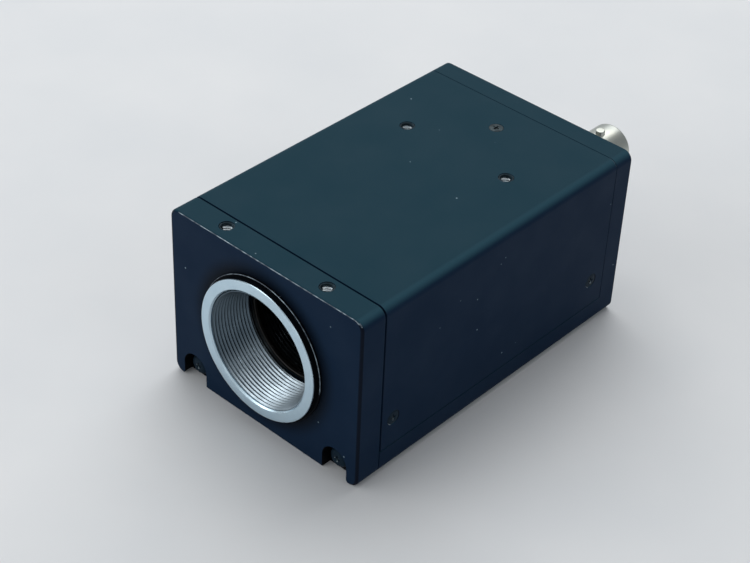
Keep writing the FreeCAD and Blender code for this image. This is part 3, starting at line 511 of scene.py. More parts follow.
def mottled(name):
    """A finish of the table: two tones in patches, a roughness that follows them, and a bump."""
    if name in bpy.data.materials:
        return bpy.data.materials[name]
    *tones, patch, rough, grain, sockets = MOTTLED[name]
    panel = bpy.context.scene.camera_colours
    base, second = (linear(tone) if tone.startswith("#") else getattr(panel, tone) for tone in tones)
    material, tree, shader, place = blank(name, sockets)
    cloud = add_node(tree, "TexNoise", {"Vector": place, "Scale": 1 / (patch * MM), "Detail": 4.0})
    spread = add_node(tree, "MapRange", {"Value": cloud, "From Min": 0.3, "From Max": 0.7})
    tone = add_node(tree, "Mix", {0: spread, 6: base, 7: second}, RGBA)
    dull = add_node(tree, "MapRange", {"Value": spread, "To Min": rough[0], "To Max": rough[1]})
    size, strength = grain
    fine = add_node(tree, "TexNoise", {"Vector": place, "Scale": 1 / (size * MM), "Detail": 2.0})
    bump = add_node(tree, "Bump", {"Height": fine, "Strength": strength, "Distance": 0.02 * MM})
    feed(tree, shader, {"Base Color": tone, "Roughness": dull, "Normal": bump})
    return material


def black_anodised(deep=False):
    """Aluminium, bead blasted and black anodised: matt, with fine grit, cloudy rubbed places and dust
    specks, with painted light on what faces up and on the right long edge, and painted shade round the ring
    and on the round upright edges.

    The deep one is a darker black without dust or painted light, for painted shade in the notches and for
    the ring's black outside."""
    name = "sheltered_black_aluminium" if deep else "black_anodised_aluminium"
    if name in bpy.data.materials:
        return bpy.data.materials[name]
    colours = bpy.context.scene.camera_colours
    base, second = (colours.deep, linear("#090B0F")) if deep else (colours.black, colours.rubbed)
    # One share for the dust specks and for the painted light; the deep black gets neither.
    dust_and_light = 0.0 if deep else 1.0
    material, tree, shader, place = blank(name, FAINT_SHEEN)
    # Clouds of 9 mm where hands have rubbed the finish.
    cloud = add_node(tree, "TexNoise", {"Vector": place, "Scale": 1 / (9 * MM), "Detail": 3.0})
    rubbed = add_node(tree, "MapRange", {"Value": cloud, "From Min": 0.35, "From Max": 0.7})
    tone = add_node(tree, "Mix", {0: rubbed, 6: base, 7: second}, RGBA)
    # Painted shade: the few millimetres round the lens ring are darkened towards the deep black.
    low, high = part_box("lens_mount_ring")
    middle = (0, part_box("front_plate")[0].y, (low.z + high.z) / 2)
    away = add_node(tree, "VectorMath", {0: place, 1: middle}, {"operation": "DISTANCE"})
    near = {"Value": away, "From Min": 15.2 * MM, "From Max": 19.4 * MM, "To Min": 0.85, "To Max": 0.0}
    ring_shade = add_node(tree, "MapRange", near, SMOOTH)
    ring_shaded = add_node(tree, "Mix", {0: ring_shade, 6: tone, 7: colours.deep}, RGBA)
    # Painted shade: the round upright edges, whose faces turn between front and side, are darkened.
    facing = add_node(tree, "SeparateXYZ", {"Vector": place.node.outputs["Normal"]}).outputs
    turn = add_node(tree, "Math", {0: facing["X"], 1: facing["Y"]}, MULTIPLY)
    upright = add_node(tree, "Math", {0: turn}, {"operation": "ABSOLUTE"})
    edge_band = {"Value": upright, "From Min": 0.05, "From Max": 0.35, "To Max": 0.75}
    edge_shade = add_node(tree, "MapRange", edge_band)
    # The housing's tone with the painted shade of the ring and of the upright edges.
    handled = add_node(tree, "Mix", {0: edge_shade, 6: ring_shaded, 7: linear("#100E12")}, RGBA)
    # Painted light: what faces up is mixed towards a lighter tone, as if lit from above.
    level = {"Value": facing["Z"], "From Min": 0.3, "From Max": 1.0, "To Max": dust_and_light}
    lit_from_above = add_node(tree, "MapRange", level, SMOOTH)
    # Painted light: the round long edge on the right, which faces right and up, is a little lighter.
    lean = add_node(tree, "Math", {0: facing["X"], 1: facing["Z"]}, MULTIPLY)
    right_edge_light = add_node(tree, "MapRange", {"Value": lean, "From Max": 0.5, "To Max": 0.75 * dust_and_light})
    # The tone of the painted light, lighter on the right long edge.
    polished = add_node(tree, "Mix", {0: right_edge_light, 6: colours.film, 7: linear("#335563")}, RGBA)
    top_lit = add_node(tree, "Mix", {0: lit_from_above, 6: handled, 7: polished}, RGBA)
    # Specks of dust, 0.4 mm across at most.
    specks = add_node(tree, "TexVoronoi", {"Vector": place, "Scale": 1 / (6 * MM)})
    fade = {"Value": specks, "From Min": 0.01, "From Max": 0.035, "To Min": 0.8 * dust_and_light, "To Max": 0.0}
    dust = add_node(tree, "MapRange", fade)
    dusty = add_node(tree, "Mix", {0: dust, 6: top_lit, 7: colours.dust}, RGBA)
    worn = {"Value": cloud, "From Min": 0.3, "From Max": 0.7, "To Min": 0.58, "To Max": 0.5}
    rough = add_node(tree, "MapRange", worn)
    # The grit of the blasting is about 0.1 mm, drawn at 0.3 mm so that it shows.
    grit = add_node(tree, "TexNoise", {"Vector": place, "Scale": 1 / (0.3 * MM), "Detail": 2.0})
    bump = add_node(tree, "Bump", {"Height": grit, "Strength": 0.25, "Distance": 0.03 * MM})
    feed(tree, shader, {"Base Color": dusty, "Roughness": rough, "Normal": bump})
    return material


def worn_and_highlit_edge():
    """Black anodised aluminium worn to bright metal along an edge, in broken streaks, which also serve as a
    painted highlight where the edge catches the light.
    """
    name = "worn_anodised_edge"
    if name in bpy.data.materials:
        return bpy.data.materials[name]
    colours = bpy.context.scene.camera_colours
    material, tree, shader, place = blank(name, {"Roughness": 0.45})
    # Streaks about 1.5 mm long.
    streak = add_node(tree, "TexNoise", {"Vector": place, "Scale": 1 / (1.5 * MM), "Detail": 4.0})
    wear = {"Value": streak, "From Min": 0.42, "From Max": 0.66, "To Min": 0.06, "To Max": 0.6}
    bare = add_node(tree, "MapRange", wear)
    tone = add_node(tree, "Mix", {0: bare, 6: colours.black, 7: colours.silver}, RGBA)
    feed(tree, shader, {"Base Color": tone, "Metallic": bare})
    return material


def turned_aluminium(bright=False):
    """Bare aluminium from the lathe: pale silver, satin, with fine tool lines round the lens axis.

    The bright one is for bevels, which a sharper tool leaves shinier."""
    name = "bright_turned_aluminium" if bright else "bare_turned_aluminium"
    if name in bpy.data.materials:
        return bpy.data.materials[name]
    silver = bpy.context.scene.camera_colours.silver
    material, tree, shader, place = blank(name, METAL)
    low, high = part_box("lens_mount_ring")
    centred = add_node(tree, "Mapping", {"Vector": place, "Location": (0, 0, -(low.z + high.z) / 2)})
    # Tool lines 0.12 mm apart, drawn at 0.25 mm so that they show.
    cut = {"Vector": centred, "Scale": math.pi / 10 / (0.25 * MM), "Distortion": 0.6, "Detail": 1.0}
    lines = add_node(tree, "TexWave", cut, {"wave_type": "RINGS", "rings_direction": "Y"}).outputs["Fac"]
    # Faint stains of 3 mm.
    stain = add_node(tree, "TexNoise", {"Vector": place, "Scale": 1 / (3 * MM), "Detail": 3.0})
    tone = add_node(tree, "Mix", {0: stain, 6: silver, 7: linear("#BFD5E2")}, RGBA)
    satin = 0.26 if bright else 0.46
    spread = {"Value": stain, "From Min": 0.3, "From Max": 0.7, "To Min": satin, "To Max": satin + 0.1}
    rough = add_node(tree, "MapRange", spread)
    bump = add_node(tree, "Bump", {"Height": lines, "Strength": 0.12, "Distance": 0.01 * MM})
    feed(tree, shader, {"Base Color": tone, "Roughness": rough, "Normal": bump})
    return material


def shaded_thread():
    """The finish of the fine thread, with painted shade darkening its upper left."""
    name = "fine_threaded_aluminium"
    if name in bpy.data.materials:
        return bpy.data.materials[name]
    material = mottled(name)
    tree = material.node_tree
    shader = tree.nodes["Principled BSDF"]
    low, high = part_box("lens_mount_ring")
    across = Vector((0.6, 0, -0.8))
    axis = across.dot((low + high) / 2)
    place = add_node(tree, "TexCoord").outputs["Object"]
    spread = add_node(tree, "VectorMath", {0: place, 1: across}, {"operation": "DOT_PRODUCT"})
    # The painted shade fades out over 8 mm.
    near, far = axis - 2 * MM, axis + 6 * MM
    thin = {"Value": spread, "From Min": near, "From Max": far, "To Min": 0.9, "To Max": 0.0}
    upper_left_shade = add_node(tree, "MapRange", thin, SMOOTH)
    metal = shader.inputs["Base Color"].links[0].from_socket
    tone = add_node(tree, "Mix", {0: upper_left_shade, 6: metal, 7: linear("#566570")}, RGBA)
    feed(tree, shader, {"Base Color": tone})
    return material


def glass(name, code, dullest):
    """Flat coated glass: hardly any reflection, and a faint smear that dulls it in places."""
    if name in bpy.data.materials:
        return bpy.data.materials[name]
    clear = {"Base Color": linear(code), "IOR": 1.3, "Transmission Weight": 1.0}
    material, tree, shader, place = blank(name, clear)
    # Smears of 6 mm.
    smear = add_node(tree, "TexNoise", {"Vector": place, "Scale": 1 / (6 * MM), "Detail": 2.0})
    spread = {"Value": smear, "From Min": 0.4, "From Max": 0.7, "To Max": dullest}
    feed(tree, shader, {"Roughness": add_node(tree, "MapRange", spread)})
    return material


# Pieces

# Rounds of the front plate's front edges, as shares of the upright edges' round
EDGE_SHARES = (0.5, 0.6, 0.75, 0.9, 1.0)
# Room round a turned piece in its seat, in millimetres
CLEARANCE = 0.05


class CAMERA_OT_front_plate(bpy.types.Operator):
    """Model the front plate with its ring seat, notches and holes"""

    bl_idname = "box_camera.front_plate"
    bl_label = "Front plate"

    def execute(self, context):
        sizes = context.scene.camera_housing
        holes = context.scene.camera_holes
        low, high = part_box("front_plate")
        front = low.y
        notch_back = front + sizes.notch_depth
        plate = block("front_plate_dressed", low, (high.x, front + sizes.plate_thickness, high.z))
        pick(plate, "EDGE", lambda edge: run_of(edge).y > MM)
        bpy.ops.mesh.bevel(offset=sizes.corner_radius, segments=6, affect="EDGES")
        for share in EDGE_SHARES:
            pick(plate, "EDGE", lambda edge: self.edge_share(edge, front) == share)
            bpy.ops.transform.edge_bevelweight(value=share)
        modify(plate, "BEVEL", width=sizes.side_edge, segments=4, limit_method="WEIGHT")
        seat = context.scene.camera_lens_mount.tail_radius / MM + CLEARANCE
        middle = (0, front, (low.z + high.z) / 2)
        tools = [turned("seat", [(seat, 1), (seat, -15)], middle, FORWARD, 128)]
        first_screw, last_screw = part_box("front_plate_screws")
        head = context.scene.camera_screws.pan_radius
        spring = first_screw.z + head
        shank_hole = [(1.35, 1), (1.35, -8)]
        for side in (-1, 1):
            x = side * (last_screw.x - head)
            tools.append(arch("notch", x, low.z - MM, spring, sizes.notch_radius, front - MM, notch_back))
            tools.append(self.foot_round(x + side * sizes.notch_radius, side, front, low.z, sizes))
            tools.append(turned("shank_hole", shank_hole, (x, notch_back, spring), FORWARD, 24))
            for z, outward in ((high.z, UP), (low.z, DOWN)):
                place = (side * holes.spacing_x / 2, front + holes.from_front, z)
                tools.append(tapped_hole(place, outward))
        combine(plate, tools, "DIFFERENCE")
        soften(plate, sizes.break_edge * 0.7)
        paint(plate, black_anodised(), worn_and_highlit_edge(), black_anodised(deep=True))
        # The upper front edge is worn bright, apart from its left end; the bright metal also paints the
        # edge's highlight.
        touch_up(
            plate,
            1,
            lambda normal, spot: normal.y < -0.25
            and 0.4 < normal.z < 0.75
            and spot.z > high.z - MM
            and spot.x > low.x + 3 * MM,
        )
        # Painted shade: the notches are dark inside.
        touch_up(
            plate,
            2,
            lambda normal, spot: front + 0.3 * MM < spot.y < notch_back + 0.1 * MM
            and low.z + 0.1 * MM < spot.z < low.z + 8 * MM
            and 15 * MM < abs(spot.x) < high.x - 0.5 * MM,
        )
        deliver(plate, "black_anodised", "front_plate")
        return {"FINISHED"}

    def foot_round(self, x, side, front, foot, sizes):
        """The cutter that rounds the foot of the leg beside a notch."""
        radius = sizes.leg_round
        inner, outer = sorted((x - side * 0.05 * MM, x + side * radius))
        top = (outer, front + sizes.notch_depth, foot + radius)
        tool = block("foot", (inner, front - MM, foot - MM), top)
        middle = (x + side * radius, front, foot + radius)
        rest = turned("rest", [(radius / MM, 2), (radius / MM, -5)], middle, FORWARD, 48)
        combine(tool, [rest], "DIFFERENCE")
        return tool

    def edge_share(self, edge, front):
        """How round an edge of the front face is, as a share of the upright edges' round."""
        if any(abs(vert.co.y - front) > 0.01 * MM for vert in edge.verts):
            return 0
        run = run_of(edge)
        upright = run.z / run.length
        return min(EDGE_SHARES, key=lambda share: abs(0.5 + 0.5 * upright - share))


class CAMERA_OT_lens_ring(bpy.types.Operator):
    """Turn the lens ring and cut its fine thread"""

    bl_idname = "box_camera.lens_ring"
    bl_label = "Lens ring"

    def execute(self, context):
        sizes = context.scene.camera_lens_mount
        low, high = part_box("lens_mount_ring")
        mouth = Vector((0, low.y, (low.z + high.z) / 2))
        radius = sizes.ring_radius / MM
        tail = sizes.tail_radius / MM
        entry = sizes.entry / MM
        inner = sizes.minor_radius / MM + entry
        collar = sizes.collar_length / MM
        flange = radius + sizes.flange_width / MM
        seat = collar + sizes.flange_thickness / MM
        depth = (high.y - low.y) / MM
        bore = sizes.major_radius / MM + CLEARANCE
        outline = [
            (inner, 0), (radius - 0.25, 0), (radius - 0.07, -0.07), (radius, -0.25), (radius, -collar),
            (flange - 0.1, -collar), (flange, -collar - 0.1), (flange, -seat), (tail, -seat),
            (tail, -depth), (bore, -depth), (bore, -0.5 * entry),
        ]
        ring = turned("lens_ring_dressed", outline, mouth, FORWARD, 144, ring=True)
        radii = (sizes.minor_radius, sizes.major_radius, 0.08 * MM)
        span = (0.5 * sizes.entry, (depth - 0.3) * MM)
        lining = thread_lining("lens_thread", mouth, FORWARD, radii, sizes.pitch, span, 144)
        paint(lining, shaded_thread())
        shade(ring, 25)
        bright = turned_aluminium(bright=True)
        paint(ring, turned_aluminium(), black_anodised(deep=True), worn_and_highlit_edge(), bright)
        behind = low.y + 0.3 * MM
        rim = 14.5 * MM
        lip = sizes.ring_radius + 0.42 * MM

        def reach(spot):
            """How far a spot lies from the ring's axis."""
            return math.hypot(spot.x - mouth.x, spot.z - mouth.z)

        # Behind its front edge the ring is black outside, in the deep black that also serves as painted
        # shade, and the flange's lip is bright worn metal above as a painted highlight.
        touch_up(ring, 1, lambda normal, spot: spot.y > behind and reach(spot) > rim)
        touch_up(ring, 2, lambda normal, spot: reach(spot) > lip and normal.y < -0.3 and normal.z > -0.1)
        # The bevels at the mouth and round the front edge are bright.
        touch_up(ring, 3, lambda normal, spot: reach(spot) < inner * MM and abs(normal.y) < 0.999)
        touch_up(
            ring, 3, lambda normal, spot: spot.y < behind and reach(spot) > rim and abs(normal.y) < 0.99
        )
        only(ring)
        lining.select_set(True)
        bpy.ops.object.join()
        deliver(ring, "bare_aluminium", "lens_mount_ring")
        return {"FINISHED"}


class CAMERA_OT_top_cover(bpy.types.Operator):
    """Fold the top cover from sheet and drill it"""

    bl_idname = "box_camera.top_cover"
    bl_label = "Top cover"

    def execute(self, context):
        sizes = context.scene.camera_housing
        holes = context.scene.camera_holes
        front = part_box("front_plate")[0].y
        low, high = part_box("top_cover")
        low.y = front + sizes.plate_thickness + sizes.front_seam
        high.y += sizes.rear_gain
        cover = block("top_cover_dressed", low, high)
        pick(cover, "EDGE", lambda edge: run_of(edge).y > MM and edge.verts[0].co.z > low.z + MM)
        bpy.ops.mesh.bevel(offset=sizes.corner_radius, segments=8, affect="EDGES")
        pick(cover, "FACE", lambda face: abs(face.normal.y) > 0.9 or face.normal.z < -0.9)
        bpy.ops.mesh.delete(type="FACE")
        modify(cover, "SOLIDIFY", thickness=sizes.sheet, offset=-1)
        sink = [(1.6, 0.3), (1.6, 0), (1.2, -0.5), (1.2, -1.5)]
        tools = [turned("sink", sink, place, outward, 40) for place, outward in screw_places()]
        rear = front + holes.from_front + holes.spacing_y
        for side in (-1, 1):
            tools.append(tapped_hole((side * holes.spacing_x / 2, rear, high.z), UP))
        combine(cover, tools, "DIFFERENCE")
        soften(cover, sizes.break_edge)
        paint(cover, black_anodised(), worn_and_highlit_edge())
        # The rear edge is worn bright towards the right, which also paints a highlight there.
        touch_up(cover, 1, lambda normal, spot: normal.y > 0.3 and normal.z > 0.3 and spot.x > 0)
        deliver(cover, "black_anodised", "top_cover")
        return {"FINISHED"}


def screw_places():
    """Place and outward direction of the countersunk screws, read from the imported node."""
    low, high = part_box("cover_screws")
    radius = bpy.context.scene.camera_screws.flat_radius
    side_z = low.z + radius
    ends = (low.y + radius, high.y - radius)
    # The upper screw stands a little before the rear pair.
    places = [(Vector((0, ends[1] - 3.6 * MM, high.z)), UP)]
    for y in ends:
        places.append((Vector((high.x, y, side_z)), RIGHT))
        places.append((Vector((low.x, y, side_z)), LEFT))
    return places


class CAMERA_OT_chassis(bpy.types.Operator):
    """Break the edges of the chassis and finish it"""

    bl_idname = "box_camera.chassis"
    bl_label = "Chassis"

    def execute(self, context):
        holes = context.scene.camera_holes
        chassis = copy_of("chassis", "chassis_dressed")
        soften(chassis, context.scene.camera_housing.chassis_edge)
        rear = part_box("front_plate")[0].y + holes.from_front + holes.spacing_y
        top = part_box("top_cover")[1].z
        tools = []
        for side in (-1, 1):
            for z, outward in ((top, UP), (0, DOWN)):
                place = (side * holes.spacing_x / 2, rear, z)
                tools.append(tapped_hole(place, outward, above=1, depth=2.7))
        combine(chassis, tools, "DIFFERENCE")
        paint(chassis, black_anodised())
        deliver(chassis, "black_anodised", "chassis")
        return {"FINISHED"}


class CAMERA_OT_cover_screws(bpy.types.Operator):
    """Model one countersunk screw and copy it to the cover's five places"""

    bl_idname = "box_camera.cover_screws"
    bl_label = "Cover screws"

    def execute(self, context):
        sizes = context.scene.camera_screws
        radius = sizes.flat_radius / MM
        height = sizes.flat_height / MM
        sink = sizes.flat_sink / MM
        shank = 1.0
        outline = [
            (shank, -4.4), (shank, -height - sink - 0.1), (radius, -0.1 - sink), (radius, -0.05 - sink),
            (radius - 0.05, -sink), (radius * 0.5, -sink + 0.02),
        ]
        screw = turned("cover_screw", outline, (0, 0, 0), UP, 48)
        combine(screw, [cross_recess(sizes.cross_depth)], "DIFFERENCE")
        soften(screw, 0.03 * MM)
        # The black has gone from the upper screw, and on the others a driver has worn one side of the
        # recess, which also paints a glint there.
        for number, (place, outward) in enumerate(screw_places(), 1):
            head = "worn_blackened_steel" if outward == UP else "black_zinc_plated_steel"
            paint(screw, mottled(head), mottled("driver_worn_steel"))
            if outward != UP:
                touch_up(screw, 1, recess_faces(-0.1 * MM, Vector((0.8, -0.6))))
            piece = placed(screw, f"cover_screw_{number}", place, outward)
            deliver(piece, "steel_screws", "cover_screws")
        bpy.data.objects.remove(screw)
        return {"FINISHED"}


class CAMERA_OT_front_screws(bpy.types.Operator):
    """Model one round-headed screw and copy it to the notches of the front plate"""

    bl_idname = "box_camera.front_screws"
    bl_label = "Front screws"

    def execute(self, context):
        sizes = context.scene.camera_screws
        low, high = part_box("front_plate_screws")
        radius = sizes.pan_radius / MM
        height = sizes.pan_height / MM
        shank = 1.2
        outline = [
            (shank, -7.4), (shank, 0), (radius - 0.05, 0), (radius, 0.1), (radius, height - 0.75),
            (radius - 0.1, height - 0.45), (radius - 0.4, height - 0.18), (radius - 0.95, height - 0.03),
            (radius - 1.5, height),
        ]
        screw = turned("front_screw", outline, (0, 0, 0), UP, 48)
        cutter = cross_recess(sizes.cross_depth)
        cutter.location.z = height * MM
        combine(screw, [settle(cutter)], "DIFFERENCE")
        soften(screw, 0.06 * MM, 45)
        paint(screw, mottled("black_zinc_plated_steel"), mottled("driver_worn_steel"))
        # A driver has worn one side of the recess, which also paints a glint there.
        touch_up(screw, 1, recess_faces(sizes.pan_height - 0.08 * MM, Vector((-0.6, -0.8))))
        for number, side in enumerate((-1, 1), 1):
            place = (side * (high.x - sizes.pan_radius), low.y + sizes.pan_height, low.z + sizes.pan_radius)
            piece = placed(screw, f"front_screw_{number}", place, FORWARD)
            deliver(piece, "plated_screws", "front_plate_screws")
        bpy.data.objects.remove(screw)
        return {"FINISHED"}


class CAMERA_OT_hole_threads(bpy.types.Operator):
    """Cut one short thread and copy it into the eight tapped holes"""

    bl_idname = "box_camera.hole_threads"
    bl_label = "Threads of the tapped holes"

    def execute(self, context):
        sizes = context.scene.camera_holes
        radii = (sizes.minor_radius, sizes.major_radius, 0.06 * MM)
        span = (sizes.lead, 2.6 * MM)
        lining = thread_lining("thread", (0, 0, 0), UP, radii, sizes.pitch, span, 40)
        paint(lining, mottled("dull_tapped_aluminium"), mottled("bare_tapped_aluminium"))
        # Painted glint on the deeper turns of the far side, and painted shade on the rest of the thread.
        glint_side = Vector((-0.66, 0.75))
        touch_up(
            lining, 1, lambda normal, spot: spot.z < -0.9 * MM and spot.xy.dot(glint_side) > 1.05 * MM
        )
        low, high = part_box("front_plate")
        first = low.y + sizes.from_front
        for side, half in ((-1, "left"), (1, "right")):
            x = side * sizes.spacing_x / 2
            for y, end in ((first, "front"), (first + sizes.spacing_y, "rear")):
                for z, outward, face in ((high.z, UP, "top"), (low.z, DOWN, "foot")):
                    piece = placed(lining, f"thread_{end}_{face}_{half}", (x, y, z), outward)
                    deliver(piece, "bare_aluminium")
        bpy.data.objects.remove(lining)
        return {"FINISHED"}


class CAMERA_OT_filter_stack(bpy.types.Operator):
    """Model the filter's retainer and finish the filter, the sensor and its holder"""

    bl_idname = "box_camera.filter_stack"
    bl_label = "Filter and sensor"

    def execute(self, context):
        low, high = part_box("filter_retainer")
        retainer = block("filter_retainer_dressed", low, high)
        window = context.scene.camera_lens_mount.window_radius / MM
        bevelled = [(window + 0.14, 1.4), (window + 0.14, 0.4), (window, 0.26), (window, -1.4)]
        combine(retainer, [turned("window", bevelled, (low + high) / 2, FORWARD, 128)], "DIFFERENCE")
        complete(retainer, 0.06, mottled("grey_anodised_aluminium"), "grey_retainer", "filter_retainer")
        # The filter's dark grey tint also stands in as painted shade for the inside of the camera.
        finish_nodes(glass("infrared_filter_glass", "#4B4A48", 0.08), "filter_glass")
        finish_nodes(glass("sensor_cover_glass", "#DCE8EA", 0.05), "sensor_window")
        finish_nodes(black_anodised(), "sensor_holder")
        finish_nodes(mottled("black_rubber"), "sensor_seal")
        finish_nodes(mottled("dark_ceramic"), "sensor_package")
        finish_nodes(mottled("polished_silicon"), "sensor_die")
        finish_nodes(mottled("gold_plated_contact"), "sensor_pins")
        finish_nodes(mottled("zinc_plated_steel"), "sensor_studs")
        return {"FINISHED"}


def rear_place(node):
    """Where a connector's axis meets the rear wall."""
    low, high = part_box(node)
    return Vector(((low.x + high.x) / 2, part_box("chassis")[1].y, (low.z + high.z) / 2))


class CAMERA_OT_coax_connector(bpy.types.Operator):
    """Turn the bayonet connector, its insulator and its contact, and finish its nut"""

    bl_idname = "box_camera.coax_connector"
    bl_label = "Coaxial connector"

    def execute(self, context):
        place = rear_place("coax_body")
        outline = [
            (2.45, -6.0), (4.6, -6.0), (4.6, 0), (6.15, 0), (6.3, 0.15), (6.3, 1.4), (6.1, 1.6),
            (4.85, 1.6), (4.85, 2.6), (4.65, 2.8), (4.65, 3.2), (4.85, 3.4), (4.85, 11.5),
            (4.72, 11.85), (4.45, 12.0), (4.2, 12.0), (4.05, 11.85), (4.05, 4.4), (2.45, 4.4),
        ]
        body = turned("coax_body_dressed", outline, place, BACKWARD, 96, ring=True)
        lug = [(0.98, 4.5), (0.98, 5.5), (0.9, 5.68), (0.7, 5.75)]
        lug_place = place + BACKWARD * 7.2 * MM
        combine(body, [turned("lug", lug, lug_place, axis, 32) for axis in (UP, DOWN)], "UNION")
        complete(body, 0.05, mottled("nickel_plated_brass"), "nickel", "coax_body")
        outline = [(1.1, -6), (2.4, -6), (2.4, 10.5), (2.25, 10.8), (1.35, 10.8), (1.1, 10.55)]
        insulator = turned("coax_insulator_dressed", outline, place, BACKWARD, 64, ring=True)
        complete(insulator, 0.04, mottled("white_insulating_plastic"), "white_moulding", "coax_insulator")
        tail = (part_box("coax_contact")[0].y - place.y) / MM
        outline = [(1.05, tail), (1.05, 10.6), (0.92, 10.8), (0.8, 10.8), (0.68, 10.65), (0.68, 6.4)]
        contact = turned("coax_contact_dressed", outline, place, BACKWARD, 32)
        slit = block("slit", place + Vector((-0.09, 6.6, -2)) * MM, place + Vector((0.09, 12, 2)) * MM)
        combine(contact, [slit], "DIFFERENCE")
        shade(contact, 35)
        paint(contact, mottled("gold_plated_contact"))
        deliver(contact, "gold_contact", "coax_contact")
        finish_nodes(mottled("nickel_plated_brass"), "coax_nut")
        return {"FINISHED"}


class CAMERA_OT_round_socket(bpy.types.Operator):
    """Turn the round socket, its insert and its pins"""

    bl_idname = "box_camera.round_socket"
    bl_label = "Round socket"

    def execute(self, context):
        place = rear_place("socket_shell")
        outline = [
            (4.5, -6.2), (5.1, -6.2), (5.1, 0), (6.75, 0), (6.9, 0.15), (6.9, 1.8), (6.7, 2.0), (5.3, 2.0),
            (5.3, 3.4), (5.12, 3.58), (5.12, 4.3), (5.3, 4.48), (5.3, 6.15), (5.15, 6.4), (4.7, 6.4),
            (4.5, 6.2),
        ]
        shell = turned("socket_shell_dressed", outline, place, BACKWARD, 96, ring=True)
        key = block("key", place + Vector((-0.6, 2, 4.0)) * MM, place + Vector((0.6, 5.9, 4.8)) * MM)
        combine(shell, [key], "UNION")
        complete(shell, 0.05, mottled("nickel_plated_brass"), "nickel", "socket_shell")
        outline = [(4.45, -6.2), (4.45, 0.55), (4.3, 0.8), (3.95, 0.8), (3.9, 0.72)]
        insert = turned("socket_insert_dressed", outline, place, BACKWARD, 64)
        complete(insert, 0.04, mottled("black_moulded_plastic"), "black_moulding", "socket_insert")
        outline = [(0.4, 0.7), (0.4, 3.1), (0.34, 3.28), (0.2, 3.38), (0.08, 3.4)]
        pin = turned("pin", outline, (0, 0, 0), UP, 20)
        shade(pin, 40)
        paint(pin, mottled("gold_plated_contact"))
        number = 0
        for count, circle in ((9, 3.4), (3, 1.4)):
            for index in range(count):
                number += 1
                angle = 2 * math.pi * index / count - math.pi / 2
                offset = Vector((circle * math.cos(angle), 0, circle * math.sin(angle))) * MM
                piece = placed(pin, f"socket_pin_{number}", place + offset, BACKWARD)
                deliver(piece, "gold_contact", "socket_pins")
        bpy.data.objects.remove(pin)
        finish_nodes(mottled("nickel_plated_brass"), "socket_nut")
        return {"FINISHED"}


class CAMERA_OT_controls(bpy.types.Operator):
    """Model the rotors of the selector and the trimmer with their screwdriver slots"""

    bl_idname = "box_camera.controls"
    bl_label = "Screwdriver controls"

    def execute(self, context):
        white = mottled("white_moulded_plastic")
        for name, slot_width in (("selector", 0.8), ("trimmer", 0.5)):
            low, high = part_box(f"{name}_rotor")
            place = Vector(((low.x + high.x) / 2, high.y, (low.z + high.z) / 2))
            radius = (high.x - low.x) / 2 / MM
            depth = (high.y - low.y) / MM
            outline = [
                (radius, -depth), (radius, -0.25), (radius - 0.07, -0.07), (radius - 0.25, 0),
                (radius - 0.45, 0), (radius - 0.55, -0.12), (radius - 0.65, -0.12),
            ]
            rotor = turned(f"{name}_rotor_dressed", outline, place, BACKWARD, 64)
            start = Vector((-radius - 1, -0.8, -slot_width / 2)) * MM
            end = Vector((radius + 1, 1, slot_width / 2)) * MM
            combine(rotor, [block("slot", place + start, place + end)], "DIFFERENCE")
            complete(rotor, 0.04, white, "white_moulding", f"{name}_rotor", name)
        finish_nodes(mottled("blue_moulded_plastic"), "selector_body", "trimmer_body")
        return {"FINISHED"}


class CAMERA_OT_circuit_boards(bpy.types.Operator):
    """Finish the boards and what stands on them"""

    bl_idname = "box_camera.circuit_boards"
    bl_label = "Circuit boards"

    def execute(self, context):
        boards = ("sensor_board", "lower_board", "upper_board", "rear_board")
        finish_nodes(mottled("green_solder_mask"), *boards)
        finish_nodes(mottled("natural_nylon"), "lower_standoffs", "upper_standoffs")
        finish_nodes(mottled("black_moulded_plastic"), "stack_header", "chips", "rear_header")
        finish_nodes(mottled("orange_moulded_plastic"), "capacitors")
        finish_nodes(mottled("zinc_plated_steel"), "oscillator_can")
        finish_nodes(mottled("white_insulating_plastic"), "ribbon_connectors")
        finish_nodes(mottled("polyimide_film"), "sensor_ribbon")
        return {"FINISHED"}


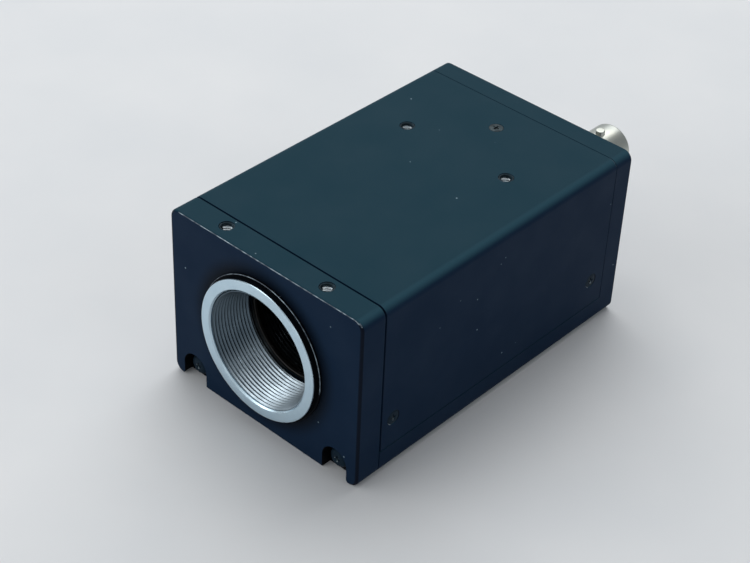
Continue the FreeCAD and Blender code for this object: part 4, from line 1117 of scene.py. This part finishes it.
class CAMERA_OT_stage(bpy.types.Operator):
    """Lay the floor, hang the lamps and set the camera"""

    bl_idname = "box_camera.stage"
    bl_label = "Stage"

    def execute(self, context):
        scene = context.scene
        scene.view_settings.view_transform = "Standard"
        only()
        bpy.ops.mesh.primitive_plane_add(size=4)
        floor = bpy.context.object
        floor.name = "floor"
        pick(floor, "EDGE", lambda edge: all(vert.co.y > 1 for vert in edge.verts))
        bpy.ops.mesh.extrude_edges_move(TRANSFORM_OT_translate={"value": (0, 0, 2)})
        pick(floor, "EDGE", lambda edge: all(vert.co.y > 1 and vert.co.z < 1 for vert in edge.verts))
        bpy.ops.mesh.bevel(offset=0.8, segments=16, affect="EDGES")
        only(floor)
        bpy.ops.object.shade_smooth()
        paint(floor, mottled("pale_matt_board"))
        for name, place, aim, size, power in (
            ("overhead_lamp", (-0.42, 0.5, 0.92), (0, 0, 0), (1.2, 1.2), 10.2),
            ("front_lamp", (-0.5, -0.76, 0.54), (0, 0, 0.02), (1.2, 0.3), 3.3),
            ("right_lamp", (0.85, 0.05, 0.75), (0, 0, 0.02), (0.4, 0.4), 0.7),
            ("camera_lamp", (0.75, -0.85, 0.9), (0, 0, 0.02), (0.12, 0.12), 0.8),
        ):
            bpy.ops.object.light_add(type="AREA", location=place)
            lamp = bpy.context.object
            lamp.name = name
            lamp.data.energy = power
            lamp.data.shape = "RECTANGLE"
            lamp.data.size, lamp.data.size_y = size
            lamp.rotation_euler = (Vector(aim) - Vector(place)).to_track_quat("-Z", "Y").to_euler()
        world = bpy.data.worlds.new("soft_room")
        scene.world = world
        world.use_nodes = True
        tree = world.node_tree
        # Metal and glass see a brighter room than the one that lights the matt surfaces.
        glossy = add_node(tree, "LightPath").outputs["Is Glossy Ray"]
        level = add_node(tree, "Math", {0: glossy, 1: 0.3, 2: 0.28}, {"operation": "MULTIPLY_ADD"})
        feed(tree, tree.nodes["Background"], {"Color": linear("#E9EDF0"), "Strength": level})
        # The camera stands where the photo was taken from.
        bpy.ops.object.camera_add()
        camera = bpy.context.object
        camera.name = "photo_camera"
        right = Vector((0.73128, 0.68112, 0.03603))
        up = Vector((-0.43397, 0.42388, 0.79499))
        back = Vector((0.52621, -0.59699, 0.60556))
        camera.rotation_euler = Matrix((right, up, back)).transposed().to_euler()
        camera.location = (0.190538, -0.224408, 0.238074)
        camera.data.sensor_width = 36
        camera.data.lens = 87.848
        camera.data.clip_start = 0.01
        scene.camera = camera
        return {"FINISHED"}


# The add-on

OPERATORS = (
    CAMERA_OT_front_plate,
    CAMERA_OT_lens_ring,
    CAMERA_OT_top_cover,
    CAMERA_OT_chassis,
    CAMERA_OT_cover_screws,
    CAMERA_OT_front_screws,
    CAMERA_OT_hole_threads,
    CAMERA_OT_filter_stack,
    CAMERA_OT_coax_connector,
    CAMERA_OT_round_socket,
    CAMERA_OT_controls,
    CAMERA_OT_circuit_boards,
    CAMERA_OT_stage,
)


class CAMERA_PT_pieces(bpy.types.Panel):
    """Lists the camera's pieces, sizes and colours"""

    bl_idname = "CAMERA_PT_pieces"
    bl_label = "Box camera"
    bl_space_type = "VIEW_3D"
    bl_region_type = "UI"
    bl_category = "Box camera"

    def draw(self, context):
        for operator in OPERATORS:
            self.layout.operator(operator.bl_idname)
        for group in GROUPS:
            values = getattr(context.scene, group)
            column = self.layout.column(heading=group.replace("_", " "))
            for name in values.__annotations__:
                column.prop(values, name)


def register():
    for name, group in GROUPS.items():
        bpy.utils.register_class(group)
        setattr(bpy.types.Scene, name, PointerProperty(type=group))
    for operator in OPERATORS:
        bpy.utils.register_class(operator)
    bpy.utils.register_class(CAMERA_PT_pieces)


def unregister():
    bpy.utils.unregister_class(CAMERA_PT_pieces)
    for operator in reversed(OPERATORS):
        bpy.utils.unregister_class(operator)
    for name, group in GROUPS.items():
        delattr(bpy.types.Scene, name)
        bpy.utils.unregister_class(group)


def main():
    register()
    for operator in OPERATORS:
        group, name = operator.bl_idname.split(".")
        getattr(getattr(bpy.ops, group), name)()
    only()


if __name__ == "__main__":
    main()
